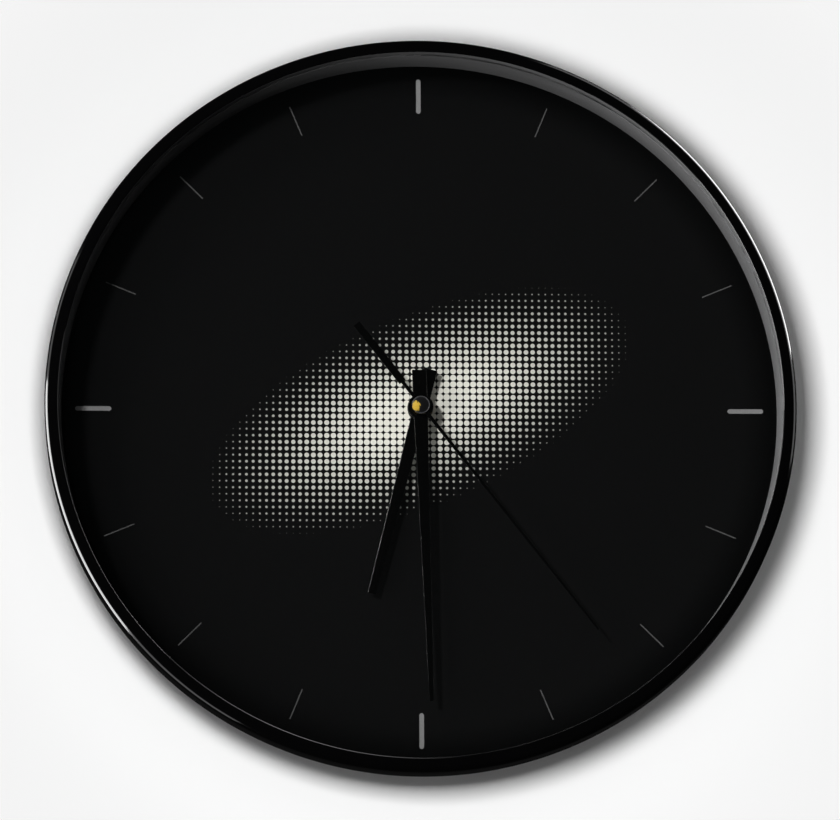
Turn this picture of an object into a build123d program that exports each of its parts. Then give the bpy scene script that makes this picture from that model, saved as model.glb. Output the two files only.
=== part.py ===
from build123d import *
import os
from math import cos, pi, radians, sin, tan

# Round black quartz wall clock, about 254 mm across and 38 mm deep, in millimetres.
# The origin is the centre of the wall plane on the axis of the hands.
# +X is to the viewer's right, +Z is up and the dial faces -Y.
# A height is a distance in front of the wall, so height h lies at y = -h.
# Clock angles run clockwise from twelve, gear angles anticlockwise from +X, both seen from the front.

# Case and front, across the clock
CASE_DIAMETER = 254.0
RIM_WIDTH = 4.7  # outer edge to the opening
RIM_EDGE_RADIUS = 2.4
RIM_SIDE_HEIGHT = 7.5  # upright band at the widest place
RIM_SLOPE = 12.0  # degrees, the front face falls away from the opening
LIP_EDGE_RADIUS = 0.6
LENS_SEAT = 1.3  # overlap of the lip over the lens
BEZEL_WALL = 1.6  # at the rear edge
BORE_CLEARANCE = 0.15  # round the pieces stacked in the bezel
SPACER_DRAFT = 0.9  # the inner wall closes in by this much towards the dial
SNAP_HALF_HEIGHT = 0.6
SNAP_RISE = 0.4
BACK_INSET = 9.5  # rear rim inside the widest place
BACK_RIM_WIDTH = 4.5
BACK_RIM_THICKNESS = 2.2
CASE_WALL = 2.4
SKIRT_BULGE = 1.6

# Stack from the wall to the front
KNOB_WALL_GAP = 1.4
KNOB_HEIGHT = 2.4
KNOB_RUNNING_GAP = 0.4
SHELL_WALL = 1.2
FLOOR_THICKNESS = 2.3
DIAL_THICKNESS = 0.8
BOSS_RISE = 0.5  # above the dial
HOUR_HAND_RISE = 2.4  # above the dial
HAND_THICKNESS = 0.6
HAND_SPACING = 1.5
NUT_THICKNESS = 1.2
SECOND_HAND_GAP = 0.8
SECOND_HAND_THICKNESS = 0.4
CAP_EDGE = 0.25
CAP_DOME = 0.65
LENS_CLEARANCE = 1.3
LENS_THICKNESS = 2.0
LIP_THICKNESS = 2.4  # up to its rounding

# Hands, measured from the axis; a tip stands a named gap inside the inner wall
HOUR_ANGLE = 194.6
HOUR_TIP_GAP = 55.0
HOUR_TIP_WIDTH = 2.8
HOUR_TAIL = 14.0
MINUTE_ANGLE = 178.2
MINUTE_TIP_GAP = 20.0
MINUTE_TIP_WIDTH = 1.6
MINUTE_TAIL = 12.9
HAND_WIDTH = 4.9
HAND_HUB_DIAMETER = 8.8
BUSH_DIAMETER = 6.8
BUSH_HEIGHT = 1.3
SECOND_ANGLE = 142.5
SECOND_TIP_GAP = 24.0
SECOND_HAND_WIDTH = 1.2
SECOND_TIP_WIDTH = 0.7
SECOND_HUB_DIAMETER = 4.8
COUNTERWEIGHT_START = 10.1
COUNTERWEIGHT_LENGTH = 25.5
COUNTERWEIGHT_WIDTH = 2.6
CAP_DIAMETER = 6.1
NUT_DIAMETER = 5.8  # across corners

# Printed marks on the dial, as thin films
MARK_COUNT = 16
QUARTER_COUNT = 4
MARK_FILM = 0.1
QUARTER_LENGTH = 12.2
QUARTER_WIDTH = 1.55
QUARTER_EDGE_GAP = 4.6
FINE_LENGTH = 11.0
FINE_WIDTH = 0.4
FINE_EDGE_GAP = 5.9

# Arbors and running fits of the movement
RUNNING_GAP = 0.05  # radial
PRESS_GAP = 0.02  # radial, as drawn
SECOND_ARBOR_DIAMETER = 1.2
MINUTE_TUBE_DIAMETER = 3.0
HOUR_TUBE_DIAMETER = 5.0
BOSS_DIAMETER = 8.0
BOSS_HOLE_GAP = 0.2
ARBOR_DIAMETER = 1.0
HUB_WALL = 0.3  # collars round arbors
SETTING_SHAFT_DIAMETER = 3.0
SECOND_TUBE_DIAMETER = 2.0
SECOND_TUBE_LENGTH = 1.0
TUBE_END = 0.3  # a tube ends this far past the hand it carries
PIVOT_DEPTH = 0.7
END_PLAY = 0.1

# Gear train: teeth and modules
ROTOR_TEETH = 8
INTERMEDIATE_TEETH = 48
ROTOR_MODULE = 0.25
INTERMEDIATE_PINION_TEETH = 8
SECOND_TEETH = 40
SECOND_MODULE = 0.3
SECOND_PINION_TEETH = 8
THIRD_TEETH = 60
THIRD_PINION_TEETH = 8
CENTRE_TEETH = 64
CENTRE_MODULE = 0.25
CANNON_TEETH = 12
MINUTE_WHEEL_TEETH = 36
MINUTE_WHEEL_MODULE = 0.4
MINUTE_PINION_TEETH = 10
HOUR_TEETH = 40
TOOTH_ADDENDUM = 0.7  # in modules
TOOTH_DEDENDUM = 1.1  # in modules
TOOTH_LEAN = 20.0
BACKLASH = 0.05
FOOT_SHARE = 0.96  # most of half a pitch that a tooth's foot may take
GEAR_FACE = 1.2
GEAR_LAYERS = 6
LAYER_GAP = 0.7
TRAIN_END_GAP = 1.0
INTERMEDIATE_DIRECTION = 60.0
ROTOR_DIRECTION = 90.0  # from the intermediate wheel
THIRD_DIRECTION = 165.0
MINUTE_WHEEL_DIRECTION = 0.0

# Stepping motor and circuit
MAGNET_DIAMETER = 5.0
MAGNET_LENGTH = 3.0
STATOR_AIR_GAP = 0.5
STATOR_RING = 1.4
STATOR_THICKNESS = 1.2
STATOR_LEG = 4.0
STATOR_SPAN = 30.0
COIL_DIAMETER = 6.8
COIL_END_GAP = 1.0  # from the stator's legs
COIL_RISE = 8.3  # from the rotor
CORE_HEIGHT = 2.4
CORE_THICKNESS = 1.2
POST_DIAMETER = 3.0
BOARD_WIDTH = 7.8
BOARD_HEIGHT = 32.0
BOARD_THICKNESS = 1.0
BOARD_STANDOFF = 1.0
BOARD_POST_INSET = 5.5
CHIP_DIAMETER = 6.0
CHIP_HEIGHT = 1.2
CRYSTAL_DIAMETER = 2.0
CRYSTAL_LENGTH = 6.0
PART_GAP = 0.05

# Battery bay and movement housing
BATTERY_DIAMETER = 14.5
BATTERY_LENGTH = 50.5
BATTERY_NUB_DIAMETER = 5.5
BATTERY_NUB_LENGTH = 1.3
CELL_CLEARANCE = 0.15
CONTACT_SPACE = 1.55
CONTACT_THICKNESS = 0.4
CONTACT_HALF_SPAN = 5.0
CONTACT_WIDTH = 6.0
CHAMBER_GAP = 2.4
HOUSING_CORNER = 2.5

# Back of the case
CLIP_GAP = 0.15
CLIP_THICKNESS = 2.0
CLIP_WIDTH = 9.0
CLIP_LIP = 1.1
CLIP_LIP_HEIGHT = 1.4
CLIP_SPREAD = 28.0  # between the two hooks of a side
RIB_COUNT = 8
RIB_HEIGHT = 6.0
RIB_THICKNESS = 1.6
RING_RIB_GAP = 2.0  # round the corners of the movement
HANGER_WIDTH = 28.0
HANGER_PLATE = 2.5
HANGER_RECESS = 2.0
HANGER_WALL = 2.0
HANGER_REACH = 24.0
KEYHOLE_ENTRY_DIAMETER = 9.0
KEYHOLE_SLOT_WIDTH = 5.0
KEYHOLE_TRAVEL = 8.0
KEYHOLE_EDGE = 5.0  # plate below the entry
KNOB_DIAMETER = 9.2
KNOB_FLUTES = 18
KNOB_FLUTE_DIAMETER = 0.9
KNOB_BORE_DEPTH = 1.6

# Heights worked out from the stack
knob_front = KNOB_WALL_GAP + KNOB_HEIGHT
movement_rear = knob_front + KNOB_RUNNING_GAP
cover_inner = movement_rear + SHELL_WALL
train_depth = 2 * TRAIN_END_GAP + GEAR_LAYERS * GEAR_FACE + (GEAR_LAYERS - 1) * LAYER_GAP
cell_depth = BATTERY_DIAMETER + 2 * CELL_CLEARANCE
shell_inner = max(cover_inner + train_depth, movement_rear + cell_depth)
floor_rear = shell_inner + SHELL_WALL
floor_front = floor_rear + FLOOR_THICKNESS
dial_face = floor_front + DIAL_THICKNESS
boss_end = dial_face + BOSS_RISE
hour_hand_rear = dial_face + HOUR_HAND_RISE
minute_hand_rear = hour_hand_rear + HAND_THICKNESS + HAND_SPACING
nut_rear = minute_hand_rear + HAND_THICKNESS
second_hand_rear = nut_rear + NUT_THICKNESS + SECOND_HAND_GAP
cap_rear = second_hand_rear + SECOND_HAND_THICKNESS
lens_rear = cap_rear + CAP_EDGE + CAP_DOME + LENS_CLEARANCE
lens_front = lens_rear + LENS_THICKNESS
lip_front = lens_front + LIP_THICKNESS

# Radii worked out from the outside in
case_r = CASE_DIAMETER / 2
lip_r = case_r - RIM_WIDTH
bore_r = lip_r + LENS_SEAT
bezel_rear_r = bore_r + BEZEL_WALL
stack_r = bore_r - BORE_CLEARANCE
sight_r = lip_r - SPACER_DRAFT
back_r = case_r - BACK_INSET
boss_hole_r = BOSS_DIAMETER / 2 + BOSS_HOLE_GAP

# A section plane whose first axis is the radius and whose second is the height
SECTION = Plane(origin=(0, 0, 0), x_dir=(1, 0, 0), z_dir=(0, 0, -1))
HANDS_AXIS = Axis((0, 0, 0), (0, -1, 0))


def layer(number):
    """Rear height of a gear layer, counted from the rear cover."""
    return cover_inner + TRAIN_END_GAP + number * (GEAR_FACE + LAYER_GAP)


def at_angle(radius, angle, start=(0.0, 0.0)):
    """A point at a distance and a gear angle from another point."""
    return (start[0] + radius * cos(radians(angle)), start[1] + radius * sin(radians(angle)))


def mesh_phase(teeth, phase, other_teeth, direction):
    """Phase of a second gear in mesh with a first one that lies in the opposite direction."""
    tooth_share = (direction - phase) * teeth / 360
    return direction + 180 + (tooth_share + 0.5) * 360 / other_teeth


def tip_radius(teeth, module):
    """Outer radius of a gear."""
    return teeth * module / 2 + TOOTH_ADDENDUM * module


def add_round(radius, low, high, at=(0.0, 0.0), mode=Mode.ADD):
    """Adds or cuts a round step between two heights."""
    with BuildSketch(Plane.XZ.offset(low)) as step:
        with Locations(at):
            Circle(radius)
    extrude(step.sketch, amount=high - low, mode=mode)


def add_block(x_range, z_range, low, high, corner=0.0, mode=Mode.ADD):
    """Adds or cuts a block between two heights, with its upright corners rounded if asked."""
    width = x_range[1] - x_range[0]
    height = z_range[1] - z_range[0]
    with BuildSketch(Plane.XZ.offset(low)) as step:
        with Locations(((x_range[0] + x_range[1]) / 2, (z_range[0] + z_range[1]) / 2)):
            if corner:
                RectangleRounded(width, height, corner)
            else:
                Rectangle(width, height)
    extrude(step.sketch, amount=high - low, mode=mode)


def add_gear(teeth, module, phase, low, at=(0.0, 0.0)):
    """Adds a spur gear with straight flanks and one tooth centred on the phase angle."""
    pitch_r = teeth * module / 2
    half_tooth = pi * module / 4 - BACKLASH
    lean = tan(radians(TOOTH_LEAN)) * module
    tip = (pitch_r + TOOTH_ADDENDUM * module, half_tooth - TOOTH_ADDENDUM * lean)
    root = (pitch_r - TOOTH_DEDENDUM * module, half_tooth + TOOTH_DEDENDUM * lean)
    widest_turn = FOOT_SHARE * 180 / teeth
    points = []
    for tooth in range(teeth):
        middle = phase + 360 * tooth / teeth
        for (radius, half_width), side in ((root, -1), (tip, -1), (tip, 1), (root, 1)):
            turn = min(half_width / radius * 180 / pi, widest_turn)
            points.append(at_angle(radius, middle + side * turn, at))
    with BuildSketch(Plane.XZ.offset(low)) as gear:
        with BuildLine():
            Polyline(*points, close=True)
        make_face()
    extrude(gear.sketch, amount=GEAR_FACE)


# Places of the gears and of the motor, as (x, z)
intermediate_distance = SECOND_MODULE * (INTERMEDIATE_PINION_TEETH + SECOND_TEETH) / 2
intermediate_at = at_angle(intermediate_distance, INTERMEDIATE_DIRECTION)
rotor_distance = ROTOR_MODULE * (ROTOR_TEETH + INTERMEDIATE_TEETH) / 2
rotor_at = at_angle(rotor_distance, ROTOR_DIRECTION, intermediate_at)
third_distance = CENTRE_MODULE * (THIRD_PINION_TEETH + CENTRE_TEETH) / 2
third_at = at_angle(third_distance, THIRD_DIRECTION)
third_module = 2 * third_distance / (SECOND_PINION_TEETH + THIRD_TEETH)
minute_wheel_distance = MINUTE_WHEEL_MODULE * (CANNON_TEETH + MINUTE_WHEEL_TEETH) / 2
minute_wheel_at = at_angle(minute_wheel_distance, MINUTE_WHEEL_DIRECTION)
hour_module = 2 * minute_wheel_distance / (MINUTE_PINION_TEETH + HOUR_TEETH)
coil_z = rotor_at[1] + COIL_RISE
coil_length = STATOR_SPAN - 2 * (STATOR_LEG + COIL_END_GAP)
stator_low = layer(2) + GEAR_FACE / 2
stator_high = stator_low + STATOR_THICKNESS
magnet_low = (stator_low + stator_high - MAGNET_LENGTH) / 2

# Places of the housing walls
bay_half = BATTERY_LENGTH / 2 + CONTACT_SPACE
housing_half = bay_half + SHELL_WALL
chamber_bottom = -tip_radius(CENTRE_TEETH, CENTRE_MODULE) - CHAMBER_GAP
chamber_top = coil_z + COIL_DIAMETER / 2 + CHAMBER_GAP
bay_top = chamber_bottom - SHELL_WALL
bay_bottom = bay_top - cell_depth
housing_bottom = bay_bottom - SHELL_WALL
housing_top = chamber_top + SHELL_WALL
cell_z = (bay_top + bay_bottom) / 2
cell_height = shell_inner - CELL_CLEARANCE - BATTERY_DIAMETER / 2

# Front bezel: a turned ring with a rounded outer edge, a gently sloping face and a rounded lip
snap_height = (floor_rear + floor_front) / 2
groove_half = SNAP_HALF_HEIGHT + BORE_CLEARANCE
slope = radians(RIM_SLOPE)
face_outer_r = case_r - RIM_EDGE_RADIUS * (1 - sin(slope))
face_inner_r = lip_r + LIP_EDGE_RADIUS * (1 + sin(slope))
face_inner_height = lip_front + LIP_EDGE_RADIUS * cos(slope)
face_outer_height = face_inner_height - (face_outer_r - face_inner_r) * tan(slope)
edge_height = face_outer_height - RIM_EDGE_RADIUS * cos(slope)
with BuildPart() as bezel:
    with BuildSketch(SECTION):
        with BuildLine():
            Polyline(
                (bore_r, floor_rear),
                (bezel_rear_r, floor_rear),
                (case_r, edge_height - RIM_SIDE_HEIGHT),
                (case_r, edge_height),
            )
            JernArc((case_r, edge_height), (0, 1), RIM_EDGE_RADIUS, 90 - RIM_SLOPE)
            Line((face_outer_r, face_outer_height), (face_inner_r, face_inner_height))
            lip_tangent = (-cos(slope), sin(slope))
            JernArc((face_inner_r, face_inner_height), lip_tangent, LIP_EDGE_RADIUS, 90 + RIM_SLOPE)
            Polyline(
                (lip_r, lip_front),
                (lip_r, lens_front),
                (bore_r, lens_front),
                (bore_r, snap_height + groove_half),
            )
            ThreePointArc(
                (bore_r, snap_height + groove_half),
                (bore_r + SNAP_RISE, snap_height),
                (bore_r, snap_height - groove_half),
            )
            Line((bore_r, snap_height - groove_half), (bore_r, floor_rear))
        make_face()
    revolve(axis=HANDS_AXIS)

# Rear case: floor, tapering skirt and flat wall rim, with ribs, movement hooks and the hanger
skirt_mid_r = (bezel_rear_r + back_r) / 2 + SKIRT_BULGE
floor_corner_r = bezel_rear_r - 2 * CASE_WALL
housing_reach = ((housing_half + CLIP_GAP + CLIP_THICKNESS) ** 2 + housing_bottom**2) ** 0.5
ring_rib_r = housing_reach + RING_RIB_GAP
hanger_top = back_r - CASE_WALL
hanger_bottom = hanger_top - HANGER_REACH
keyhole_z = hanger_bottom + KEYHOLE_EDGE + KEYHOLE_ENTRY_DIAMETER / 2
with BuildPart() as rear_case:
    with BuildSketch(SECTION):
        with BuildLine():
            Polyline(
                (bezel_rear_r, floor_rear),
                (stack_r, floor_rear),
                (stack_r, snap_height - SNAP_HALF_HEIGHT),
            )
            ThreePointArc(
                (stack_r, snap_height - SNAP_HALF_HEIGHT),
                (stack_r + SNAP_RISE, snap_height),
                (stack_r, snap_height + SNAP_HALF_HEIGHT),
            )
            Polyline(
                (stack_r, snap_height + SNAP_HALF_HEIGHT),
                (stack_r, floor_front),
                (boss_hole_r, floor_front),
                (boss_hole_r, floor_rear),
                (floor_corner_r, floor_rear),
            )
            ThreePointArc(
                (floor_corner_r, floor_rear),
                (skirt_mid_r - CASE_WALL, floor_rear / 2),
                (back_r - CASE_WALL, BACK_RIM_THICKNESS),
            )
            Polyline(
                (back_r - CASE_WALL, BACK_RIM_THICKNESS),
                (back_r - BACK_RIM_WIDTH, BACK_RIM_THICKNESS),
                (back_r - BACK_RIM_WIDTH, 0),
                (back_r, 0),
            )
            ThreePointArc((back_r, 0), (skirt_mid_r, floor_rear / 2), (bezel_rear_r, floor_rear))
        make_face()
    revolve(axis=HANDS_AXIS)

    # Stiffening ribs: a ring round the movement and spokes out to the skirt
    with BuildSketch(Plane.XZ.offset(floor_rear - RIB_HEIGHT)):
        Circle(ring_rib_r + RIB_THICKNESS)
        Circle(ring_rib_r, mode=Mode.SUBTRACT)
        spoke_inner = ring_rib_r + RIB_THICKNESS / 2
        spoke_outer = skirt_mid_r - CASE_WALL / 2
        with PolarLocations((spoke_inner + spoke_outer) / 2, RIB_COUNT, start_angle=180 / RIB_COUNT):
            Rectangle(spoke_outer - spoke_inner, RIB_THICKNESS)
    extrude(amount=RIB_HEIGHT)

    # Hooks that clip over the rear edges of the movement
    for side in (-1, 1):
        for end in (-1, 1):
            inner = side * (housing_half + CLIP_GAP)
            outer = inner + side * CLIP_THICKNESS
            lip = side * (housing_half - CLIP_LIP)
            middle = end * CLIP_SPREAD / 2
            z_range = (middle - CLIP_WIDTH / 2, middle + CLIP_WIDTH / 2)
            lip_high = movement_rear - CLIP_GAP
            lip_low = lip_high - CLIP_LIP_HEIGHT
            add_block(sorted((inner, outer)), z_range, lip_low, floor_rear)
            add_block(sorted((lip, outer)), z_range, lip_low, lip_high)

    # Hanger: a plate on two walls near the top, with a keyhole for a screw or nail head
    plate_high = HANGER_RECESS + HANGER_PLATE
    hanger_half = HANGER_WIDTH / 2
    add_block((-hanger_half, hanger_half), (hanger_bottom, hanger_top), HANGER_RECESS, plate_high)
    for side in (-1, 1):
        wall = sorted((side * hanger_half, side * (hanger_half - HANGER_WALL)))
        add_block(wall, (hanger_bottom, hanger_top), HANGER_RECESS, floor_rear)
    with BuildSketch(Plane.XZ.offset(HANGER_RECESS)):
        with Locations((0, keyhole_z)):
            Circle(KEYHOLE_ENTRY_DIAMETER / 2)
        with Locations((0, keyhole_z + KEYHOLE_TRAVEL / 2)):
            SlotCenterToCenter(KEYHOLE_TRAVEL, KEYHOLE_SLOT_WIDTH, rotation=90)
    extrude(amount=HANGER_PLATE, mode=Mode.SUBTRACT)

# Pieces stacked in the bezel: lens, inner wall and dial
with BuildPart() as lens:
    add_round(stack_r, lens_rear, lens_front)

with BuildPart() as spacer_ring:
    with BuildSketch(SECTION):
        with BuildLine():
            Polyline(
                (sight_r, dial_face),
                (stack_r, dial_face),
                (stack_r, lens_rear),
                (lip_r, lens_rear),
                close=True,
            )
        make_face()
    revolve(axis=HANDS_AXIS)

with BuildPart() as dial:
    add_round(stack_r, floor_front, dial_face)
    add_round(boss_hole_r, floor_front, dial_face, mode=Mode.SUBTRACT)

# Printed marks: thick ones with round ends at the quarters, fine ones between
with BuildPart() as quarter_marks:
    with BuildSketch(Plane.XZ.offset(dial_face)):
        with PolarLocations(sight_r - QUARTER_EDGE_GAP - QUARTER_LENGTH / 2, QUARTER_COUNT):
            SlotOverall(QUARTER_LENGTH, QUARTER_WIDTH)
    extrude(amount=MARK_FILM)

fine_step = 360 / MARK_COUNT
fine_angles = [fine_step * n for n in range(MARK_COUNT) if n % (MARK_COUNT // QUARTER_COUNT)]
with BuildPart() as fine_marks:
    with BuildSketch(Plane.XZ.offset(dial_face)):
        for angle in fine_angles:
            with Locations(at_angle(sight_r - FINE_EDGE_GAP - FINE_LENGTH / 2, angle)):
                Rectangle(FINE_LENGTH, FINE_WIDTH, rotation=angle)
    extrude(amount=MARK_FILM)


def hand_plane(height, clock_angle):
    """A plane at a height whose second axis points along a hand."""
    turn = radians(clock_angle)
    return Plane(origin=(0, -height, 0), x_dir=(cos(turn), 0, -sin(turn)), z_dir=(0, -1, 0))


def add_hand(plane, length, tail, tip_width, bore):
    """Adds a tapered hand with a round hub, a square tail and a hole for its tube."""
    with BuildSketch(plane) as blade:
        Polygon(
            (-HAND_WIDTH / 2, -tail),
            (HAND_WIDTH / 2, -tail),
            (HAND_WIDTH / 2, 0),
            (tip_width / 2, length),
            (-tip_width / 2, length),
            (-HAND_WIDTH / 2, 0),
            align=None,
        )
        Circle(HAND_HUB_DIAMETER / 2)
        Circle(bore, mode=Mode.SUBTRACT)
    extrude(blade.sketch, amount=HAND_THICKNESS)


# Hands
hour_tube_r = HOUR_TUBE_DIAMETER / 2
minute_tube_r = MINUTE_TUBE_DIAMETER / 2
second_arbor_r = SECOND_ARBOR_DIAMETER / 2
second_tube_r = SECOND_TUBE_DIAMETER / 2
hour_bore_r = hour_tube_r + PRESS_GAP
minute_bore_r = minute_tube_r + PRESS_GAP
with BuildPart() as hour_hand:
    hour_plane = hand_plane(hour_hand_rear, HOUR_ANGLE)
    add_hand(hour_plane, sight_r - HOUR_TIP_GAP, HOUR_TAIL, HOUR_TIP_WIDTH, hour_bore_r)

with BuildPart() as hour_hand_bush:
    add_round(BUSH_DIAMETER / 2, hour_hand_rear - BUSH_HEIGHT, hour_hand_rear)
    add_round(hour_bore_r, hour_hand_rear - BUSH_HEIGHT, hour_hand_rear, mode=Mode.SUBTRACT)

with BuildPart() as minute_hand:
    minute_plane = hand_plane(minute_hand_rear, MINUTE_ANGLE)
    add_hand(minute_plane, sight_r - MINUTE_TIP_GAP, MINUTE_TAIL, MINUTE_TIP_WIDTH, minute_bore_r)

with BuildPart() as hand_nut:
    with BuildSketch(Plane.XZ.offset(nut_rear)):
        RegularPolygon(NUT_DIAMETER / 2, 6)
        Circle(minute_bore_r, mode=Mode.SUBTRACT)
    extrude(amount=NUT_THICKNESS)

second_reach = sight_r - SECOND_TIP_GAP
with BuildPart() as second_hand:
    with BuildSketch(hand_plane(second_hand_rear, SECOND_ANGLE)):
        Polygon(
            (-SECOND_HAND_WIDTH / 2, -COUNTERWEIGHT_START),
            (SECOND_HAND_WIDTH / 2, -COUNTERWEIGHT_START),
            (SECOND_TIP_WIDTH / 2, second_reach),
            (-SECOND_TIP_WIDTH / 2, second_reach),
            align=None,
        )
        with Locations((0, -COUNTERWEIGHT_START - COUNTERWEIGHT_LENGTH / 2)):
            Rectangle(COUNTERWEIGHT_WIDTH, COUNTERWEIGHT_LENGTH)
        Circle(SECOND_HUB_DIAMETER / 2)
        Circle(second_tube_r + PRESS_GAP, mode=Mode.SUBTRACT)
    extrude(amount=SECOND_HAND_THICKNESS)

with BuildPart() as second_hand_tube:
    add_round(second_tube_r, cap_rear - SECOND_TUBE_LENGTH, cap_rear)
    add_round(second_arbor_r + PRESS_GAP, cap_rear - SECOND_TUBE_LENGTH, cap_rear, mode=Mode.SUBTRACT)

with BuildPart() as second_hand_cap:
    cap_r = CAP_DIAMETER / 2
    cap_front = cap_rear + CAP_EDGE + CAP_DOME
    dome_r = (cap_r**2 + CAP_DOME**2) / (2 * CAP_DOME)
    halfway = (cap_r / 2, cap_front - dome_r + (dome_r**2 - cap_r**2 / 4) ** 0.5)
    with BuildSketch(SECTION):
        with BuildLine():
            Polyline((0, cap_front), (0, cap_rear), (cap_r, cap_rear), (cap_r, cap_rear + CAP_EDGE))
            ThreePointArc((cap_r, cap_rear + CAP_EDGE), halfway, (0, cap_front))
        make_face()
    revolve(axis=HANDS_AXIS)

# Movement housing: front shell with the centre boss and battery bay, and the rear cover
arbor_r = ARBOR_DIAMETER / 2
setting_shaft_r = SETTING_SHAFT_DIAMETER / 2
leg_offset = (STATOR_SPAN - STATOR_LEG) / 2
post_z = rotor_at[1] + POST_DIAMETER
stator_posts = [(rotor_at[0] + side * leg_offset, post_z) for side in (-1, 1)]
board_x = -bay_half + BOARD_WIDTH / 2 + RUNNING_GAP
board_z = (chamber_bottom + chamber_top) / 2
board_post_offset = BOARD_HEIGHT / 2 - BOARD_POST_INSET
board_posts = [(board_x, board_z + side * board_post_offset) for side in (-1, 1)]
housing_x = (-housing_half, housing_half)
bay_x = (-bay_half, bay_half)
with BuildPart() as movement_front_shell:
    add_block(housing_x, (housing_bottom, housing_top), movement_rear, floor_rear, HOUSING_CORNER)
    add_block(housing_x, (bay_top, housing_top), movement_rear, cover_inner, mode=Mode.SUBTRACT)
    add_block(bay_x, (chamber_bottom, chamber_top), cover_inner, shell_inner, mode=Mode.SUBTRACT)
    add_block(bay_x, (bay_bottom, bay_top), movement_rear, shell_inner, mode=Mode.SUBTRACT)
    add_round(BOSS_DIAMETER / 2, floor_rear, boss_end)
    add_round(hour_tube_r + RUNNING_GAP, shell_inner, boss_end, mode=Mode.SUBTRACT)
    for place in stator_posts:
        add_round(POST_DIAMETER / 2, stator_high, shell_inner, place)
    for place in board_posts:
        add_round(POST_DIAMETER / 2, shell_inner - BOARD_STANDOFF, shell_inner, place)
    for place in (third_at, rotor_at, minute_wheel_at):
        add_round(arbor_r + RUNNING_GAP, shell_inner, shell_inner + PIVOT_DEPTH, place, Mode.SUBTRACT)

with BuildPart() as movement_rear_cover:
    cover_z = (bay_top + PART_GAP, housing_top)
    add_block(housing_x, cover_z, movement_rear, cover_inner, HOUSING_CORNER)
    for place in (third_at, rotor_at):
        add_round(arbor_r + RUNNING_GAP, cover_inner - PIVOT_DEPTH, cover_inner, place, Mode.SUBTRACT)
    add_round(second_arbor_r + RUNNING_GAP, cover_inner - PIVOT_DEPTH, cover_inner, mode=Mode.SUBTRACT)
    add_round(setting_shaft_r + RUNNING_GAP, movement_rear, cover_inner, minute_wheel_at, Mode.SUBTRACT)
    add_round(arbor_r, cover_inner, layer(1) + GEAR_FACE, intermediate_at)

# Gear train, each wheel and its pinion moulded in one piece
pivot_low = cover_inner - PIVOT_DEPTH + END_PLAY
pivot_high = shell_inner + PIVOT_DEPTH - END_PLAY
second_phase = 0.0
third_wheel_phase = mesh_phase(SECOND_PINION_TEETH, second_phase, THIRD_TEETH, THIRD_DIRECTION)
third_pinion_phase = 0.0
centre_phase = mesh_phase(THIRD_PINION_TEETH, third_pinion_phase, CENTRE_TEETH, THIRD_DIRECTION + 180)
cannon_phase = 0.0
minute_wheel_phase = mesh_phase(CANNON_TEETH, cannon_phase, MINUTE_WHEEL_TEETH, MINUTE_WHEEL_DIRECTION)
minute_pinion_phase = 0.0
hour_phase = mesh_phase(MINUTE_PINION_TEETH, minute_pinion_phase, HOUR_TEETH, MINUTE_WHEEL_DIRECTION + 180)
intermediate_pinion_phase = mesh_phase(
    SECOND_TEETH, second_phase, INTERMEDIATE_PINION_TEETH, INTERMEDIATE_DIRECTION
)
intermediate_phase = 0.0
rotor_phase = mesh_phase(INTERMEDIATE_TEETH, intermediate_phase, ROTOR_TEETH, ROTOR_DIRECTION)

with BuildPart() as second_wheel:
    add_gear(SECOND_TEETH, SECOND_MODULE, second_phase, layer(1))
    add_gear(SECOND_PINION_TEETH, third_module, second_phase, layer(2))
    add_round(second_arbor_r, pivot_low, cap_rear - END_PLAY)
    add_round(second_arbor_r + HUB_WALL, cover_inner + END_PLAY, layer(2))

with BuildPart() as third_wheel:
    add_gear(THIRD_TEETH, third_module, third_wheel_phase, layer(2), third_at)
    add_gear(THIRD_PINION_TEETH, CENTRE_MODULE, third_pinion_phase, layer(3), third_at)
    add_round(arbor_r, pivot_low, pivot_high, third_at)

with BuildPart() as centre_wheel:
    add_gear(CENTRE_TEETH, CENTRE_MODULE, centre_phase, layer(3))
    add_gear(CANNON_TEETH, MINUTE_WHEEL_MODULE, cannon_phase, layer(4))
    add_round(minute_tube_r, layer(3), nut_rear + NUT_THICKNESS)
    add_round(second_arbor_r + RUNNING_GAP, layer(3), nut_rear + NUT_THICKNESS, mode=Mode.SUBTRACT)

with BuildPart() as minute_wheel:
    add_gear(MINUTE_WHEEL_TEETH, MINUTE_WHEEL_MODULE, minute_wheel_phase, layer(4), minute_wheel_at)
    add_gear(MINUTE_PINION_TEETH, hour_module, minute_pinion_phase, layer(5), minute_wheel_at)
    add_round(setting_shaft_r, knob_front - KNOB_BORE_DEPTH, cover_inner + END_PLAY, minute_wheel_at)
    add_round(arbor_r + HUB_WALL, cover_inner, layer(5), minute_wheel_at)
    add_round(arbor_r, layer(5), pivot_high, minute_wheel_at)

with BuildPart() as hour_wheel:
    add_gear(HOUR_TEETH, hour_module, hour_phase, layer(5))
    hour_tube_end = hour_hand_rear + HAND_THICKNESS + TUBE_END
    add_round(hour_tube_r, layer(5), hour_tube_end)
    add_round(minute_tube_r + RUNNING_GAP, layer(5), hour_tube_end, mode=Mode.SUBTRACT)

with BuildPart() as intermediate_wheel:
    add_gear(INTERMEDIATE_TEETH, ROTOR_MODULE, intermediate_phase, layer(0), intermediate_at)
    add_gear(INTERMEDIATE_PINION_TEETH, SECOND_MODULE, intermediate_pinion_phase, layer(1), intermediate_at)
    add_round(arbor_r + RUNNING_GAP + HUB_WALL, layer(0), layer(1), intermediate_at)
    add_round(arbor_r + RUNNING_GAP, layer(0), layer(1) + GEAR_FACE, intermediate_at, Mode.SUBTRACT)

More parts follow.
